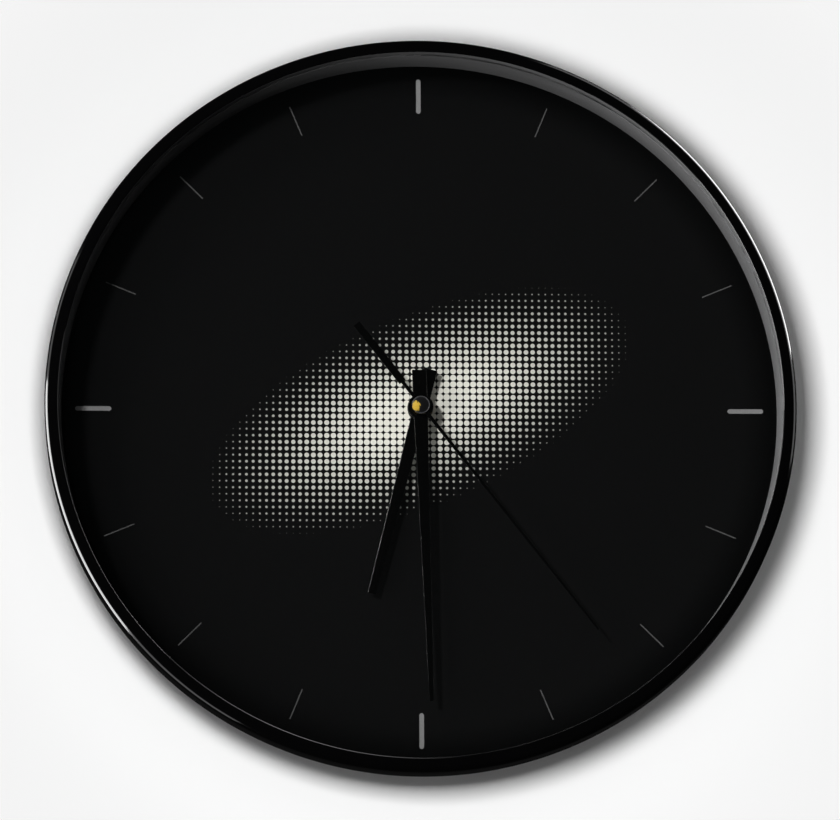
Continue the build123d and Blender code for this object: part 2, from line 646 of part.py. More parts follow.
# Stepping motor: rotor, stator, core and coil
with BuildPart() as rotor_pinion:
    add_gear(ROTOR_TEETH, ROTOR_MODULE, rotor_phase, layer(0), rotor_at)
    add_round(arbor_r, pivot_low, pivot_high, rotor_at)

with BuildPart() as rotor_magnet:
    add_round(MAGNET_DIAMETER / 2, magnet_low, magnet_low + MAGNET_LENGTH, rotor_at)
    add_round(arbor_r + PRESS_GAP, magnet_low, magnet_low + MAGNET_LENGTH, rotor_at, Mode.SUBTRACT)

stator_hole_r = MAGNET_DIAMETER / 2 + STATOR_AIR_GAP
with BuildPart() as stator:
    with BuildSketch(Plane.XZ.offset(stator_low)):
        with Locations(rotor_at):
            Rectangle(STATOR_SPAN, 2 * STATOR_RING, align=(Align.CENTER, Align.MIN))
            Circle(stator_hole_r + STATOR_RING)
        for side in (-1, 1):
            with Locations((rotor_at[0] + side * leg_offset, rotor_at[1])):
                Rectangle(STATOR_LEG, COIL_RISE + CORE_HEIGHT / 2, align=(Align.CENTER, Align.MIN))
        with Locations(rotor_at):
            Circle(stator_hole_r, mode=Mode.SUBTRACT)
    extrude(amount=STATOR_THICKNESS)

with BuildPart() as coil_core:
    core_x = (rotor_at[0] - STATOR_SPAN / 2, rotor_at[0] + STATOR_SPAN / 2)
    core_z = (coil_z - CORE_HEIGHT / 2, coil_z + CORE_HEIGHT / 2)
    add_block(core_x, core_z, stator_high, stator_high + CORE_THICKNESS)

with BuildPart() as coil:
    coil_height = stator_high + CORE_THICKNESS / 2
    with BuildSketch(Plane.YZ.offset(rotor_at[0] - coil_length / 2)):
        with Locations((-coil_height, coil_z)):
            Circle(COIL_DIAMETER / 2)
            Rectangle(CORE_THICKNESS + 2 * PART_GAP, CORE_HEIGHT + 2 * PART_GAP, mode=Mode.SUBTRACT)
    extrude(amount=coil_length)

# Circuit board with its chip and crystal
board_high = shell_inner - BOARD_STANDOFF
board_low = board_high - BOARD_THICKNESS
with BuildPart() as circuit_board:
    board_x_range = (board_x - BOARD_WIDTH / 2, board_x + BOARD_WIDTH / 2)
    board_z_range = (board_z - BOARD_HEIGHT / 2, board_z + BOARD_HEIGHT / 2)
    add_block(board_x_range, board_z_range, board_low, board_high)

with BuildPart() as control_chip:
    add_round(CHIP_DIAMETER / 2, board_low - CHIP_HEIGHT, board_low, (board_x, board_z - CHIP_DIAMETER))

with BuildPart() as quartz_crystal:
    crystal_height = board_low - PART_GAP - CRYSTAL_DIAMETER / 2
    with BuildSketch(Plane.XY.offset(board_z + CRYSTAL_LENGTH / 2)):
        with Locations((board_x, -crystal_height)):
            Circle(CRYSTAL_DIAMETER / 2)
    extrude(amount=CRYSTAL_LENGTH)

# Battery and its two bowed leaf contacts
with BuildPart() as battery:
    with BuildSketch(Plane.YZ.offset(-BATTERY_LENGTH / 2)):
        with Locations((-cell_height, cell_z)):
            Circle(BATTERY_DIAMETER / 2)
    extrude(amount=BATTERY_LENGTH - BATTERY_NUB_LENGTH)
    with BuildSketch(Plane.YZ.offset(BATTERY_LENGTH / 2 - BATTERY_NUB_LENGTH)):
        with Locations((-cell_height, cell_z)):
            Circle(BATTERY_NUB_DIAMETER / 2)
    extrude(amount=BATTERY_NUB_LENGTH)


def add_contact(side):
    """Adds a leaf contact that bows from an end wall of the bay to the cell."""
    wall = side * bay_half
    crest = side * (BATTERY_LENGTH / 2 + PART_GAP)
    back = crest + side * CONTACT_THICKNESS
    half = CONTACT_HALF_SPAN
    foot = half + CONTACT_THICKNESS
    with BuildSketch(Plane.XZ.offset(cell_height - CONTACT_WIDTH / 2)) as leaf:
        with BuildLine():
            ThreePointArc((wall, cell_z - foot), (crest, cell_z), (wall, cell_z + foot))
            Line((wall, cell_z + foot), (wall, cell_z + half))
            ThreePointArc((wall, cell_z + half), (back, cell_z), (wall, cell_z - half))
            Line((wall, cell_z - half), (wall, cell_z - foot))
        make_face()
    extrude(leaf.sketch, amount=CONTACT_WIDTH)


with BuildPart() as battery_contact_positive:
    add_contact(1)

with BuildPart() as battery_contact_negative:
    add_contact(-1)

# Setting knob on the back, pressed on the shaft of the minute wheel
with BuildPart() as setting_knob:
    with BuildSketch(Plane.XZ.offset(KNOB_WALL_GAP)):
        with Locations(minute_wheel_at):
            Circle(KNOB_DIAMETER / 2)
            with PolarLocations(KNOB_DIAMETER / 2, KNOB_FLUTES):
                Circle(KNOB_FLUTE_DIAMETER / 2, mode=Mode.SUBTRACT)
    extrude(amount=KNOB_HEIGHT)
    knob_bore_end = knob_front - KNOB_BORE_DEPTH
    add_round(setting_shaft_r + PRESS_GAP, knob_bore_end, knob_front, minute_wheel_at, Mode.SUBTRACT)

# Every finished piece, labelled with its name and written to its own file
PIECES = {
    "bezel": bezel,
    "rear_case": rear_case,
    "lens": lens,
    "spacer_ring": spacer_ring,
    "dial": dial,
    "quarter_marks": quarter_marks,
    "fine_marks": fine_marks,
    "hour_hand": hour_hand,
    "hour_hand_bush": hour_hand_bush,
    "minute_hand": minute_hand,
    "hand_nut": hand_nut,
    "second_hand": second_hand,
    "second_hand_tube": second_hand_tube,
    "second_hand_cap": second_hand_cap,
    "movement_front_shell": movement_front_shell,
    "movement_rear_cover": movement_rear_cover,
    "second_wheel": second_wheel,
    "third_wheel": third_wheel,
    "centre_wheel": centre_wheel,
    "minute_wheel": minute_wheel,
    "hour_wheel": hour_wheel,
    "intermediate_wheel": intermediate_wheel,
    "rotor_pinion": rotor_pinion,
    "rotor_magnet": rotor_magnet,
    "stator": stator,
    "coil_core": coil_core,
    "coil": coil,
    "circuit_board": circuit_board,
    "control_chip": control_chip,
    "quartz_crystal": quartz_crystal,
    "battery": battery,
    "battery_contact_positive": battery_contact_positive,
    "battery_contact_negative": battery_contact_negative,
    "setting_knob": setting_knob,
}
os.makedirs("parts", exist_ok=True)
for name, piece in PIECES.items():
    piece.part.label = name
    export_step(piece.part, f"parts/{name}.step")

depth = lip_front + LIP_EDGE_RADIUS
print(f"case {CASE_DIAMETER:.1f} across, {depth:.1f} deep; dial face at {dial_face:.2f}")
housing_depth = floor_rear - movement_rear
print(f"housing {2 * housing_half:.1f} by {housing_top - housing_bottom:.1f}, {housing_depth:.1f} deep")
print("gear places", third_at, minute_wheel_at, intermediate_at, rotor_at)
print(f"keyhole entry at z {keyhole_z:.2f}, plate from {HANGER_RECESS} to {plate_high}")
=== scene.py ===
"""Dresses the CAD frame of a round black wall clock: front, dial, hands, back, light and camera."""

from math import asin, atan2, cos, hypot, pi, radians, sin, tan

import bmesh
import bpy
from bpy.props import FloatProperty, FloatVectorProperty, PointerProperty
from mathutils import Matrix, Quaternion, Vector


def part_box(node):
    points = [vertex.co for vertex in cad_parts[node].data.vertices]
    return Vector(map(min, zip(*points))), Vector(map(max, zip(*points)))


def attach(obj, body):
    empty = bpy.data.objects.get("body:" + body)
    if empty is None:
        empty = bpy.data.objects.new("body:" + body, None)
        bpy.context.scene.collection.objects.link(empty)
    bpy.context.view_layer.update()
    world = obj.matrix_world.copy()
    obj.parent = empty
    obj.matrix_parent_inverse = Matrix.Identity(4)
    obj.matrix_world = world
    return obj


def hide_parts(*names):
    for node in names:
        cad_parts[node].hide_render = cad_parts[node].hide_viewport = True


bl_info = {
    "name": "Round Wall Clock",
    "version": (1, 0, 0),
    "blender": (4, 5, 0),
    "location": "View3D > Sidebar > Wall Clock",
    "description": "Builds the visible pieces of a round black wall clock around its CAD frame",
    "category": "Object",
}

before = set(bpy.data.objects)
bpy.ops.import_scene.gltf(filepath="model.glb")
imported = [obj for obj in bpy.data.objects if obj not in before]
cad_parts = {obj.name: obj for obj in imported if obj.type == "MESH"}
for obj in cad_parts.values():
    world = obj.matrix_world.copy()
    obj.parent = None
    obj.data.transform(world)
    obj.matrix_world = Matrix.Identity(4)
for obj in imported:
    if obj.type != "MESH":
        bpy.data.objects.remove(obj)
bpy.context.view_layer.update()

MM = 0.001
SENSOR_WIDTH = 36.0
VIEW_END = 50.0
PIN_COUNT = 8

# Steps of whole turns and of arcs
TURN_STEPS = 256
EDGE_STEPS = 18
LIP_STEPS = 12
GROOVE_STEPS = 6
HUB_STEPS = 14
BORE_STEPS = 40
SECOND_HUB_STEPS = 12
SECOND_BORE_STEPS = 32
CAP_STEPS = 64
BEAD_STEPS = 8
DOME_STEPS = 12
RING_STEPS = 48
COLLAR_STEPS = 64
ARROW_STEPS = 24
PIN_STEPS = 40

# Faces that meet at more than these angles show an edge or are a corner to round
SMOOTH_ANGLE = radians(32)
CORNER_ANGLE = radians(60)

# CAD faces within this angle count as one face
FLAT_ANGLE = radians(0.6)

# Points nearer than this are one point
LATHE_MERGE = 0.0005 * MM
COPY_MERGE = 0.0001 * MM

# From the rear of the dial to the rear face of the case floor
FLOOR_DEPTH = 2.3 * MM

# Azimuth and elevation in degrees, distance, width and height in metres
LAMPS = {
    "key": (-33, 18, 4.0, 0.5, 0.45),
    "fill": (2, 6, 4.5, 4.5, 4.0),
    "low_left": (-62, -15, 3.0, 1.6, 1.6),
    "left_card": (-92, -7, 2.0, 1.4, 1.7),
    "right_card": (107, 38, 2.0, 1.2, 1.3),
    "left_soft_card": (-86, -10, 2.2, 1.5, 4.6),
    "right_soft_card": (86, 38, 2.2, 1.4, 3.0),
    "rear_left": (160, 35, 3.0, 2.0, 1.6),
    "rear_right": (-165, 10, 3.0, 2.0, 1.6),
    "hand_card": (-72, 30, 2.4, 1.3, 0.9),
    "lip_card": (8.5, 30.5, 0.079, 0.06, 0.06),
    "wall_key": (-6.2, -8.4, 0.7, 0.165, 0.165),
    "wall_fill": (0, -4, 3.0, 3.4, 3.4),
}

# Where a lamp faces that doesn't face the middle of the dial, measured from there
AIMS = {"lip_card": (-0.036, -0.014, -0.117), "wall_key": (0.27, 0, 0.18)}


def radius_of(node):
    """Outer radius of a CAD node that is round about the axis of the hands."""
    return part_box(node)[1].x


def heights_of(node):
    """Rear and front height of a CAD node above the wall plane."""
    low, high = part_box(node)
    return -high.y, -low.y


def length(label, note, default):
    """A length in metres for a property group."""
    return FloatProperty(name=label, description=note, default=default, unit="LENGTH", precision=5)


def angle(label, note, degrees):
    """An angle for a property group."""
    return FloatProperty(name=label, description=note, default=radians(degrees), subtype="ANGLE")


def number(label, note, default):
    """A plain number for a property group."""
    return FloatProperty(name=label, description=note, default=default)


def colour(label, note, default):
    """A linear colour for a property group."""
    return FloatVectorProperty(
        name=label, description=note, default=default, subtype="COLOR", size=3, min=0.0, max=1.0
    )


class BezelSizes(bpy.types.PropertyGroup):
    """Section of the front ring."""

    rim_width: length("Rim width", "From the outer edge to the opening", 4.7 * MM)
    edge_radius: length("Edge radius", "Rounding of the outer edge", 2.4 * MM)
    side_height: length("Side height", "Upright band at the widest place", 7.5 * MM)
    face_slope: angle("Face slope", "The front face falls away from the opening by this angle", 12.0)
    lip_radius: length("Lip radius", "Rounding of the lip", 0.6 * MM)
    bore_gap: length("Bore gap", "Play round the lens", 0.15 * MM)
    rear_wall: length("Rear wall", "Wall thickness at the rear edge", 1.6 * MM)
    groove_half: length("Groove half height", "Half the height of the snap groove", 0.75 * MM)
    groove_depth: length("Groove depth", "Depth of the snap groove", 0.4 * MM)


class FrontSizes(bpy.types.PropertyGroup):
    """Lens and inner wall behind the lip."""

    lens_edge: length("Lens edge", "Rounding of the edge of the lens", 0.25 * MM)
    sight_inset: length("Sight inset", "From the edge of the lens to the foot of the inner wall", 2.05 * MM)
    mouth_inset: length("Mouth inset", "From the edge of the lens to the top of the inner wall", 1.15 * MM)
    wall_edge: length("Wall edge", "Rounding of the edges of the inner wall", 0.12 * MM)


class HandSizes(bpy.types.PropertyGroup):
    """Outlines of the three hands."""

    hour_angle: angle("Hour angle", "Direction of the hour hand, clockwise from the top", 194.6)
    minute_angle: angle("Minute angle", "Direction of the minute hand", 178.2)
    second_angle: angle("Second angle", "Direction of the second hand", 142.5)
    hour_reach: length("Hour reach", "Length of the hour hand from its axis", 66.4 * MM)
    minute_reach: length("Minute reach", "Length of the minute hand from its axis", 101.4 * MM)
    second_reach: length("Second reach", "Length of the second hand from its axis", 97.4 * MM)
    width: length("Width", "Width of the hour and minute hands at the hub", 4.9 * MM)
    hour_tail: length("Hour tail", "Length of the square tail of the hour hand", 14.0 * MM)
    minute_tail: length("Minute tail", "Length of the square tail of the minute hand", 12.9 * MM)
    hub_radius: length("Hub radius", "Round hub of the hour and minute hands", 4.4 * MM)
    hour_tip: length("Hour tip", "Width of the hour hand at its tip", 2.8 * MM)
    minute_tip: length("Minute tip", "Width of the minute hand at its tip", 1.6 * MM)
    hour_bore: length("Hour bore", "Radius of the hole in the hour hand", 2.52 * MM)
    minute_bore: length("Minute bore", "Radius of the hole in the minute hand", 1.52 * MM)
    edge: length("Edge", "Rounding of the stamped edges", 0.25 * MM)
    second_width: length("Second width", "Width of the second hand at its hub", 1.2 * MM)
    second_tip: length("Second tip", "Width of the second hand at its tip", 0.7 * MM)
    second_hub: length("Second hub", "Radius of the hub of the second hand", 2.4 * MM)
    second_bore: length("Second bore", "Radius of the hole in the second hand", 1.02 * MM)
    weight_start: length("Weight start", "Distance of the counterweight from the axis", 10.1 * MM)
    weight_end: length("Weight end", "Far end of the counterweight", 35.6 * MM)
    weight_width: length("Weight width", "Width of the counterweight", 2.6 * MM)
    second_edge: length("Second edge", "Rounding of the edges of the second hand", 0.09 * MM)


class CapSizes(bpy.types.PropertyGroup):
    """Section of the cap on the second hand."""

    bead: length("Bead", "Radius of the rolled edge", 0.14 * MM)
    bead_start: number("Bead start", "Angle where the rolled edge starts, in degrees", -35.0)
    bead_end: number("Bead end", "Angle where the rolled edge ends, in degrees", 150.0)
    dome_inset: number("Dome inset", "From the edge of the cap to the dome, in bead radii", 1.6)
    dome_rise: length("Dome rise", "Foot of the dome above the rear of the cap", 0.25 * MM)


class BackSizes(bpy.types.PropertyGroup):
    """Rounding and raised details of the back."""

    case_edge: length("Case edge", "Rounding of the edges of the rear case", 0.3 * MM)
    housing_edge: length("Housing edge", "Rounding of the edges of the movement", 0.25 * MM)
    knob_edge: length("Knob edge", "Rounding of the edges of the knob", 0.15 * MM)
    cell_edge: length("Cell edge", "Rounding of the edges of the battery", 0.5 * MM)
    foot: length("Foot", "Raised details reach this far into the face below", 0.1 * MM)
    ring_rise: length("Ring rise", "Height of the ring on the knob", 0.25 * MM)
    ring_outer: number("Ring outer", "Outer radius of the ring in knob radii", 0.66)
    ring_inner: number("Ring inner", "Inner radius of the ring in knob radii", 0.5)
    sign_rise: length("Sign rise", "Height of the collar and the arrow", 0.4 * MM)
    collar_inner: length("Collar inner", "From the knob to the inside of the collar", 0.9 * MM)
    collar_outer: length("Collar outer", "From the knob to the outside of the collar", 1.6 * MM)
    arrow_inner: length("Arrow inner", "From the knob to the inside of the arrow", 2.6 * MM)
    arrow_outer: length("Arrow outer", "From the knob to the outside of the arrow", 3.4 * MM)
    arrow_barb: length("Arrow barb", "How far the head sticks out beside the shaft", 0.9 * MM)
    arrow_start: number("Arrow start", "Clock angle of the arrow's tail, in degrees", 20.0)
    arrow_neck: number("Arrow neck", "Clock angle of the foot of the head, in degrees", 100.0)
    arrow_tip: number("Arrow tip", "Clock angle of the arrow's tip, in degrees", 116.0)
    panel_rise: length("Panel rise", "Height of the frame on the movement cover", 0.3 * MM)
    panel_width: length("Panel width", "Half width of the frame", 10.0 * MM)
    panel_height: length("Panel height", "Half height of the frame", 7.0 * MM)
    panel_line: length("Panel line", "Width of the frame's line", 0.8 * MM)
    panel_across: length("Panel across", "Place of the frame across the clock", -11.0 * MM)
    panel_up: length("Panel up", "Place of the frame above the axis of the hands", 16.0 * MM)
    pin_rise: length("Pin rise", "Height of the rings left by the ejector pins", 0.25 * MM)
    pin_outer: length("Pin outer", "Outer radius of these rings", 4.0 * MM)
    pin_inner: length("Pin inner", "Inner radius of these rings", 3.5 * MM)
    pin_circle: number("Pin circle", "Circle of the rings in radii of the rear case", 0.66)


class DialDesign(bpy.types.PropertyGroup):
    """Plain dotted print on the dial, with painted shade on its ground next to the inner wall."""

    dot_pitch: length("Dot pitch", "Distance between the printed dots", 3.2 * MM)
    patch_length: length("Patch length", "Half length of the dotted patch", 78.0 * MM)
    patch_width: length("Patch width", "Half width of the dotted patch", 33.0 * MM)
    patch_tilt: angle("Patch tilt", "The patch rises to the right by this angle", 24.0)
    screen_tilt: angle("Screen tilt", "Direction of the rows of dots", 45.0)
    dot_least: number("Least dot", "Radius of a dot at the edge of the patch, in pitches", -0.04)
    dot_most: number("Largest dot", "Radius of a dot at the middle of the patch, in pitches", 0.38)
    dot_edge: number("Dot edge", "Half width of the soft edge of a dot, in pitches", 0.03)
    grey_start: number("Grey start", "Share of the patch where the dots start to turn grey", 0.25)
    grey_end: number("Grey end", "Share of the patch where the dots are grey", 0.95)
    # Painted shade: the dial's ground darkens towards the inner wall, standing in for the wall's shadow on
    # the dial.
    wall_shade_start: length("Edge start", "Radius where the ground starts to darken", 110.0 * MM)
    wall_shade_end: length("Edge end", "Radius where the ground is darkest", 119.5 * MM)
    wall_shade_level: number("Edge level", "Share of the ground's tone left at the edge", 0.3)
    black: colour("Dial black", "Printed ground", (0.0037, 0.0037, 0.0038))
    cream: colour("Cream", "Dots at the middle of the patch", (0.86, 0.85, 0.77))
    grey: colour("Grey", "Dots at the edge of the patch", (0.30, 0.30, 0.28))
    mark_grey: colour("Mark grey", "Ink of the quarter marks", (0.217, 0.217, 0.217))
    fine_grey: colour("Fine grey", "Ink of the fine marks", (0.077, 0.077, 0.077))


class Finishes(bpy.types.PropertyGroup):
    """Colours of the materials."""

    gloss_black: colour("Gloss black", "Front ring", (0.0009, 0.0009, 0.001))
    wall_grey: colour("Wall grey", "Satin inner wall", (0.17, 0.17, 0.172))
    hand_black: colour("Hand black", "Painted hands", (0.0008, 0.0008, 0.0008))
    case_black: colour("Case black", "Moulded rear case", (0.017, 0.017, 0.018))
    movement_black: colour("Movement black", "Moulded movement housing", (0.026, 0.026, 0.027))
    knob_grey: colour("Knob grey", "Setting knob", (0.15, 0.15, 0.155))
    cap_grey: colour("Cap grey", "Dark plating of the cap", (0.009, 0.009, 0.0095))
    brass: colour("Brass", "Bushes, nut and worn plating", (0.66, 0.43, 0.045))
    gear_white: colour("Gear white", "Acetal wheels", (0.74, 0.73, 0.68))
    steel: colour("Steel", "Stator, core and crystal can", (0.52, 0.51, 0.49))
    nickel: colour("Nickel", "Battery contacts", (0.66, 0.63, 0.57))
    magnet: colour("Magnet", "Rotor magnet", (0.045, 0.045, 0.05))
    copper: colour("Copper", "Coil wire", (0.64, 0.25, 0.10))
    board: colour("Board", "Circuit board", (0.012, 0.085, 0.035))
    resin: colour("Resin", "Potted chip", (0.012, 0.012, 0.012))
    jacket: colour("Jacket", "Wrap of the battery", (0.36, 0.37, 0.39))
    jacket_dark: colour("Dark jacket", "Dark part of the wrap", (0.02, 0.022, 0.026))


class StageSettings(bpy.types.PropertyGroup):
    """Camera, lamps and backdrop."""

    azimuth: angle("Azimuth", "Camera direction round the clock, negative to the left", -2.5)
    elevation: angle("Elevation", "Camera direction, negative from below", -13.6)
    roll: angle("Roll", "Turn of the camera about its line of sight", -0.31)
    distance: length("Distance", "Camera to the middle of the dial", 2.1)
    focal: number("Focal length", "Lens of the camera in millimetres", 265.3)
    wall: colour("Wall", "Pale wall behind the clock", (0.905, 0.905, 0.905))
    floor: colour("Floor", "Pale floor far below the clock", (0.84, 0.84, 0.84))
    backdrop: colour("Backdrop", "Pale surroundings", (0.91, 0.91, 0.91))
    world_level: number("World level", "Light from everywhere", 0.009)
    wall_gap: length("Wall gap", "Wall behind the rear rim", 0.4 * MM)
    wall_half: length("Wall half", "Half the size of the wall", 3.0)
    glow_start: number("Glow start", "From this many clock radii the wall turns evenly pale", 1.2)
    glow_end: number("Glow end", "From this many clock radii the wall is evenly pale", 1.62)
    floor_half: length("Floor half", "Half the size of the floor", 6.0)
    floor_drop: length("Floor drop", "Floor below the axis of the hands", 2.4)
    shell_radius: length("Shell radius", "Radius of the pale shell round everything", 9.0)
    key_level: number("Key level", "Light of the key lamp, where 1 shows colours as written", 0.64)
    fill_level: number("Fill level", "Light of the lamp behind the camera on the dial", 0.1)
    low_level: number("Low level", "Light of the low lamp at the left on the dial", 0.34)
    card_glow: number("Card glow", "Brightness of the cards that draw the lines on the rim", 11.0)
    hand_glow: number("Hand glow", "Brightness of the card that draws the edges of the hands", 21.0)
    lip_glow: number("Lip glow", "Brightness of the small narrow card that draws the line on the lip", 0.25)
    soft_glow: number("Soft glow", "Brightness of the dim cards that let the lines fade", 1.2)
    wall_key_level: number("Wall key level", "Light of the offset lamp on the wall", 1.07)
    wall_fill_level: number("Wall fill level", "Light of the wide lamp on the wall", 0.25)
    rear_left_level: number("Rear left level", "Light of the left lamp behind the clock", 0.6)
    rear_right_level: number("Rear right level", "Light of the right lamp behind the clock", 0.4)
    lip_spread: angle("Lip spread", "Width of the lip card's beam", 36.0)


class Finish:
    """A node material while it is being put together."""

    def __init__(self, name):
        self.material = bpy.data.materials.new(name)
        self.material.use_nodes = True
        self.tree = self.material.node_tree
        self.shader = self.tree.nodes["Principled BSDF"]
        self.output = self.tree.nodes["Material Output"]
        self.place = self.add("ShaderNodeTexCoord").outputs["Object"]

    def feed(self, node, sockets):
        """Links or sets the named sockets of a node."""
        for name, value in sockets.items():
            if isinstance(value, bpy.types.NodeSocket):
                self.tree.links.new(value, node.inputs[name])
            else:
                node.inputs[name].default_value = value

    def add(self, kind, sockets=None, **settings):
        """Adds a node with its settings and sockets."""
        node = self.tree.nodes.new(kind)
        for name, value in settings.items():
            setattr(node, name, value)
        self.feed(node, sockets or {})
        return node

    def math(self, operation, *values):
        """Adds a maths node and gives its result."""
        return self.add("ShaderNodeMath", dict(enumerate(values)), operation=operation).outputs[0]

    def noise(self, grain, detail=2.0, stretch=(1.0, 1.0, 1.0)):
        """Noise whose grains are about so many metres wide."""
        scale = [part / grain for part in stretch]
        place = self.add("ShaderNodeMapping", {"Vector": self.place, "Scale": scale}).outputs[0]
        sockets = {"Vector": place, "Scale": 1.0, "Detail": detail}
        return self.add("ShaderNodeTexNoise", sockets).outputs["Fac"]

    def span(self, across, up):
        """Length of a diagonal from its two sides."""
        squares = [self.math("MULTIPLY", side, side) for side in (across, up)]
        return self.math("SQRT", self.math("ADD", *squares))

    def reach(self, centre, halves):
        """Distance from a place seen from the front, in shares of the half sizes across and up."""
        scale = (1 / halves[0], 0.0, 1 / halves[1])
        shift = (-centre[0] / halves[0], 0.0, -centre[1] / halves[1])
        sockets = {"Vector": self.place, "Scale": scale, "Location": shift}
        place = self.add("ShaderNodeMapping", sockets).outputs[0]
        return self.add("ShaderNodeVectorMath", {0: place}, operation="LENGTH").outputs["Value"]

    def between(self, factor, low, high, start=0.35, end=0.65):
        """Spreads the middle of a factor over a range of values."""
        sockets = {"Value": factor, "From Min": start, "From Max": end, "To Min": low, "To Max": high}
        return self.add("ShaderNodeMapRange", sockets).outputs["Result"]

    def rise(self, factor, start, end):
        """Climbs from 0 to 1 while a factor goes from start to end."""
        return self.between(factor, 0.0, 1.0, start, end)

    def glow(self, rgb):
        """An even glow."""
        return self.add("ShaderNodeEmission", {"Color": (*rgb, 1.0), "Strength": 1.0}).outputs[0]

    def blend(self, factor, first, second):
        """Mixes two colours."""
        node = self.add("ShaderNodeMix", data_type="RGBA")
        for socket, value in ((node.inputs[0], factor), (node.inputs[6], first), (node.inputs[7], second)):
            if isinstance(value, bpy.types.NodeSocket):
                self.tree.links.new(value, socket)
            else:
                socket.default_value = (*value, 1.0) if hasattr(value, "__len__") else value
        return node.outputs[2]

    def bump(self, height, depth):
        """A bump whose full height is so many metres."""
        return self.add("ShaderNodeBump", {"Height": height, "Distance": depth, "Strength": 1.0}).outputs[0]

    def surface(self, **sockets):
        """Sets the shader's sockets, written with underscores for spaces, and gives the material."""
        for name, value in sockets.items():
            socket = name.replace("_", " ")
            fixed = not isinstance(value, bpy.types.NodeSocket)
            if fixed and hasattr(value, "__len__") and len(value) == 3:
                value = (*value, 1.0)
            self.feed(self.shader, {socket: value})
        return self.material


def shade(rgb, share):
    """A colour made lighter or darker by a share."""
    return tuple(min(1.0, part * share) for part in rgb)


def gloss_finish(name, rgb, roughness):
    """Polished moulded plastic with the faintest waviness and a few soft smears."""
    finish = Finish(name)
    smears = finish.between(finish.noise(14 * MM, 4.0), roughness * 0.8, roughness * 1.7)
    wave = finish.bump(finish.noise(5 * MM, 1.0), 0.0008 * MM)
    tone = finish.blend(finish.noise(9 * MM, 3.0), shade(rgb, 0.8), shade(rgb, 1.25))
    return finish.surface(Base_Color=tone, Roughness=smears, Normal=wave, IOR=1.56)


def moulded_finish(name, rgb, roughness, grain, depth, specular=0.5):
    """Moulded plastic with a fine eroded grain and slightly uneven colour."""
    finish = Finish(name)
    fine = finish.noise(grain, 3.0)
    tone = finish.blend(finish.noise(22 * MM, 4.0), shade(rgb, 0.9), shade(rgb, 1.1))
    rough = finish.between(finish.noise(7 * MM, 3.0), roughness * 0.95, min(1.0, roughness * 1.06))
    return finish.surface(
        Base_Color=tone, Roughness=rough, Normal=finish.bump(fine, depth), Specular_IOR_Level=specular
    )


def satin_finish(rgb):
    """Satin grey of the inner wall, shared by the wall and the inside of the lip."""
    ready = bpy.data.materials.get("inner_wall_satin")
    return ready or moulded_finish(
        "inner_wall_satin", rgb, roughness=0.5, grain=0.35 * MM, depth=0.02 * MM, specular=0.2
    )


def metal_finish(name, rgb, roughness, stretch, grain=0.25 * MM, depth=0.004 * MM):
    """Rolled or turned metal with fine lines along one direction and dull patches."""
    finish = Finish(name)
    lines = finish.noise(grain, 3.0, stretch)
    tone = finish.blend(finish.noise(4 * MM, 4.0), shade(rgb, 0.8), shade(rgb, 1.12))
    rough = finish.between(lines, roughness * 0.75, roughness * 1.35)
    return finish.surface(Base_Color=tone, Metallic=1.0, Roughness=rough, Normal=finish.bump(lines, depth))


def ink_finish(name, rgb):
    """Screen-printed ink with an uneven edge of tone."""
    finish = Finish(name)
    tone = finish.blend(finish.noise(0.5 * MM, 4.0), shade(rgb, 0.82), shade(rgb, 1.16))
    rough = finish.between(finish.noise(0.8 * MM, 2.0), 0.62, 0.8)
    film = finish.bump(finish.noise(0.18 * MM, 2.0), 0.006 * MM)
    return finish.surface(Base_Color=tone, Roughness=rough, Normal=film, Specular_IOR_Level=0.25)


def glass_finish(name):
    """Thin clear lens: nearly invisible from the front, reflecting at a slant."""
    finish = Finish(name)
    slant = finish.add("ShaderNodeLayerWeight", {"Blend": 0.5}).outputs["Facing"]
    cover = finish.between(finish.math("POWER", slant, 5.0), 0.03, 0.85, 0.0, 1.0)
    haze = finish.between(finish.noise(30 * MM, 3.0), 0.008, 0.03)
    return finish.surface(Base_Color=(0.01, 0.012, 0.012), Roughness=haze, Alpha=cover, IOR=1.5)


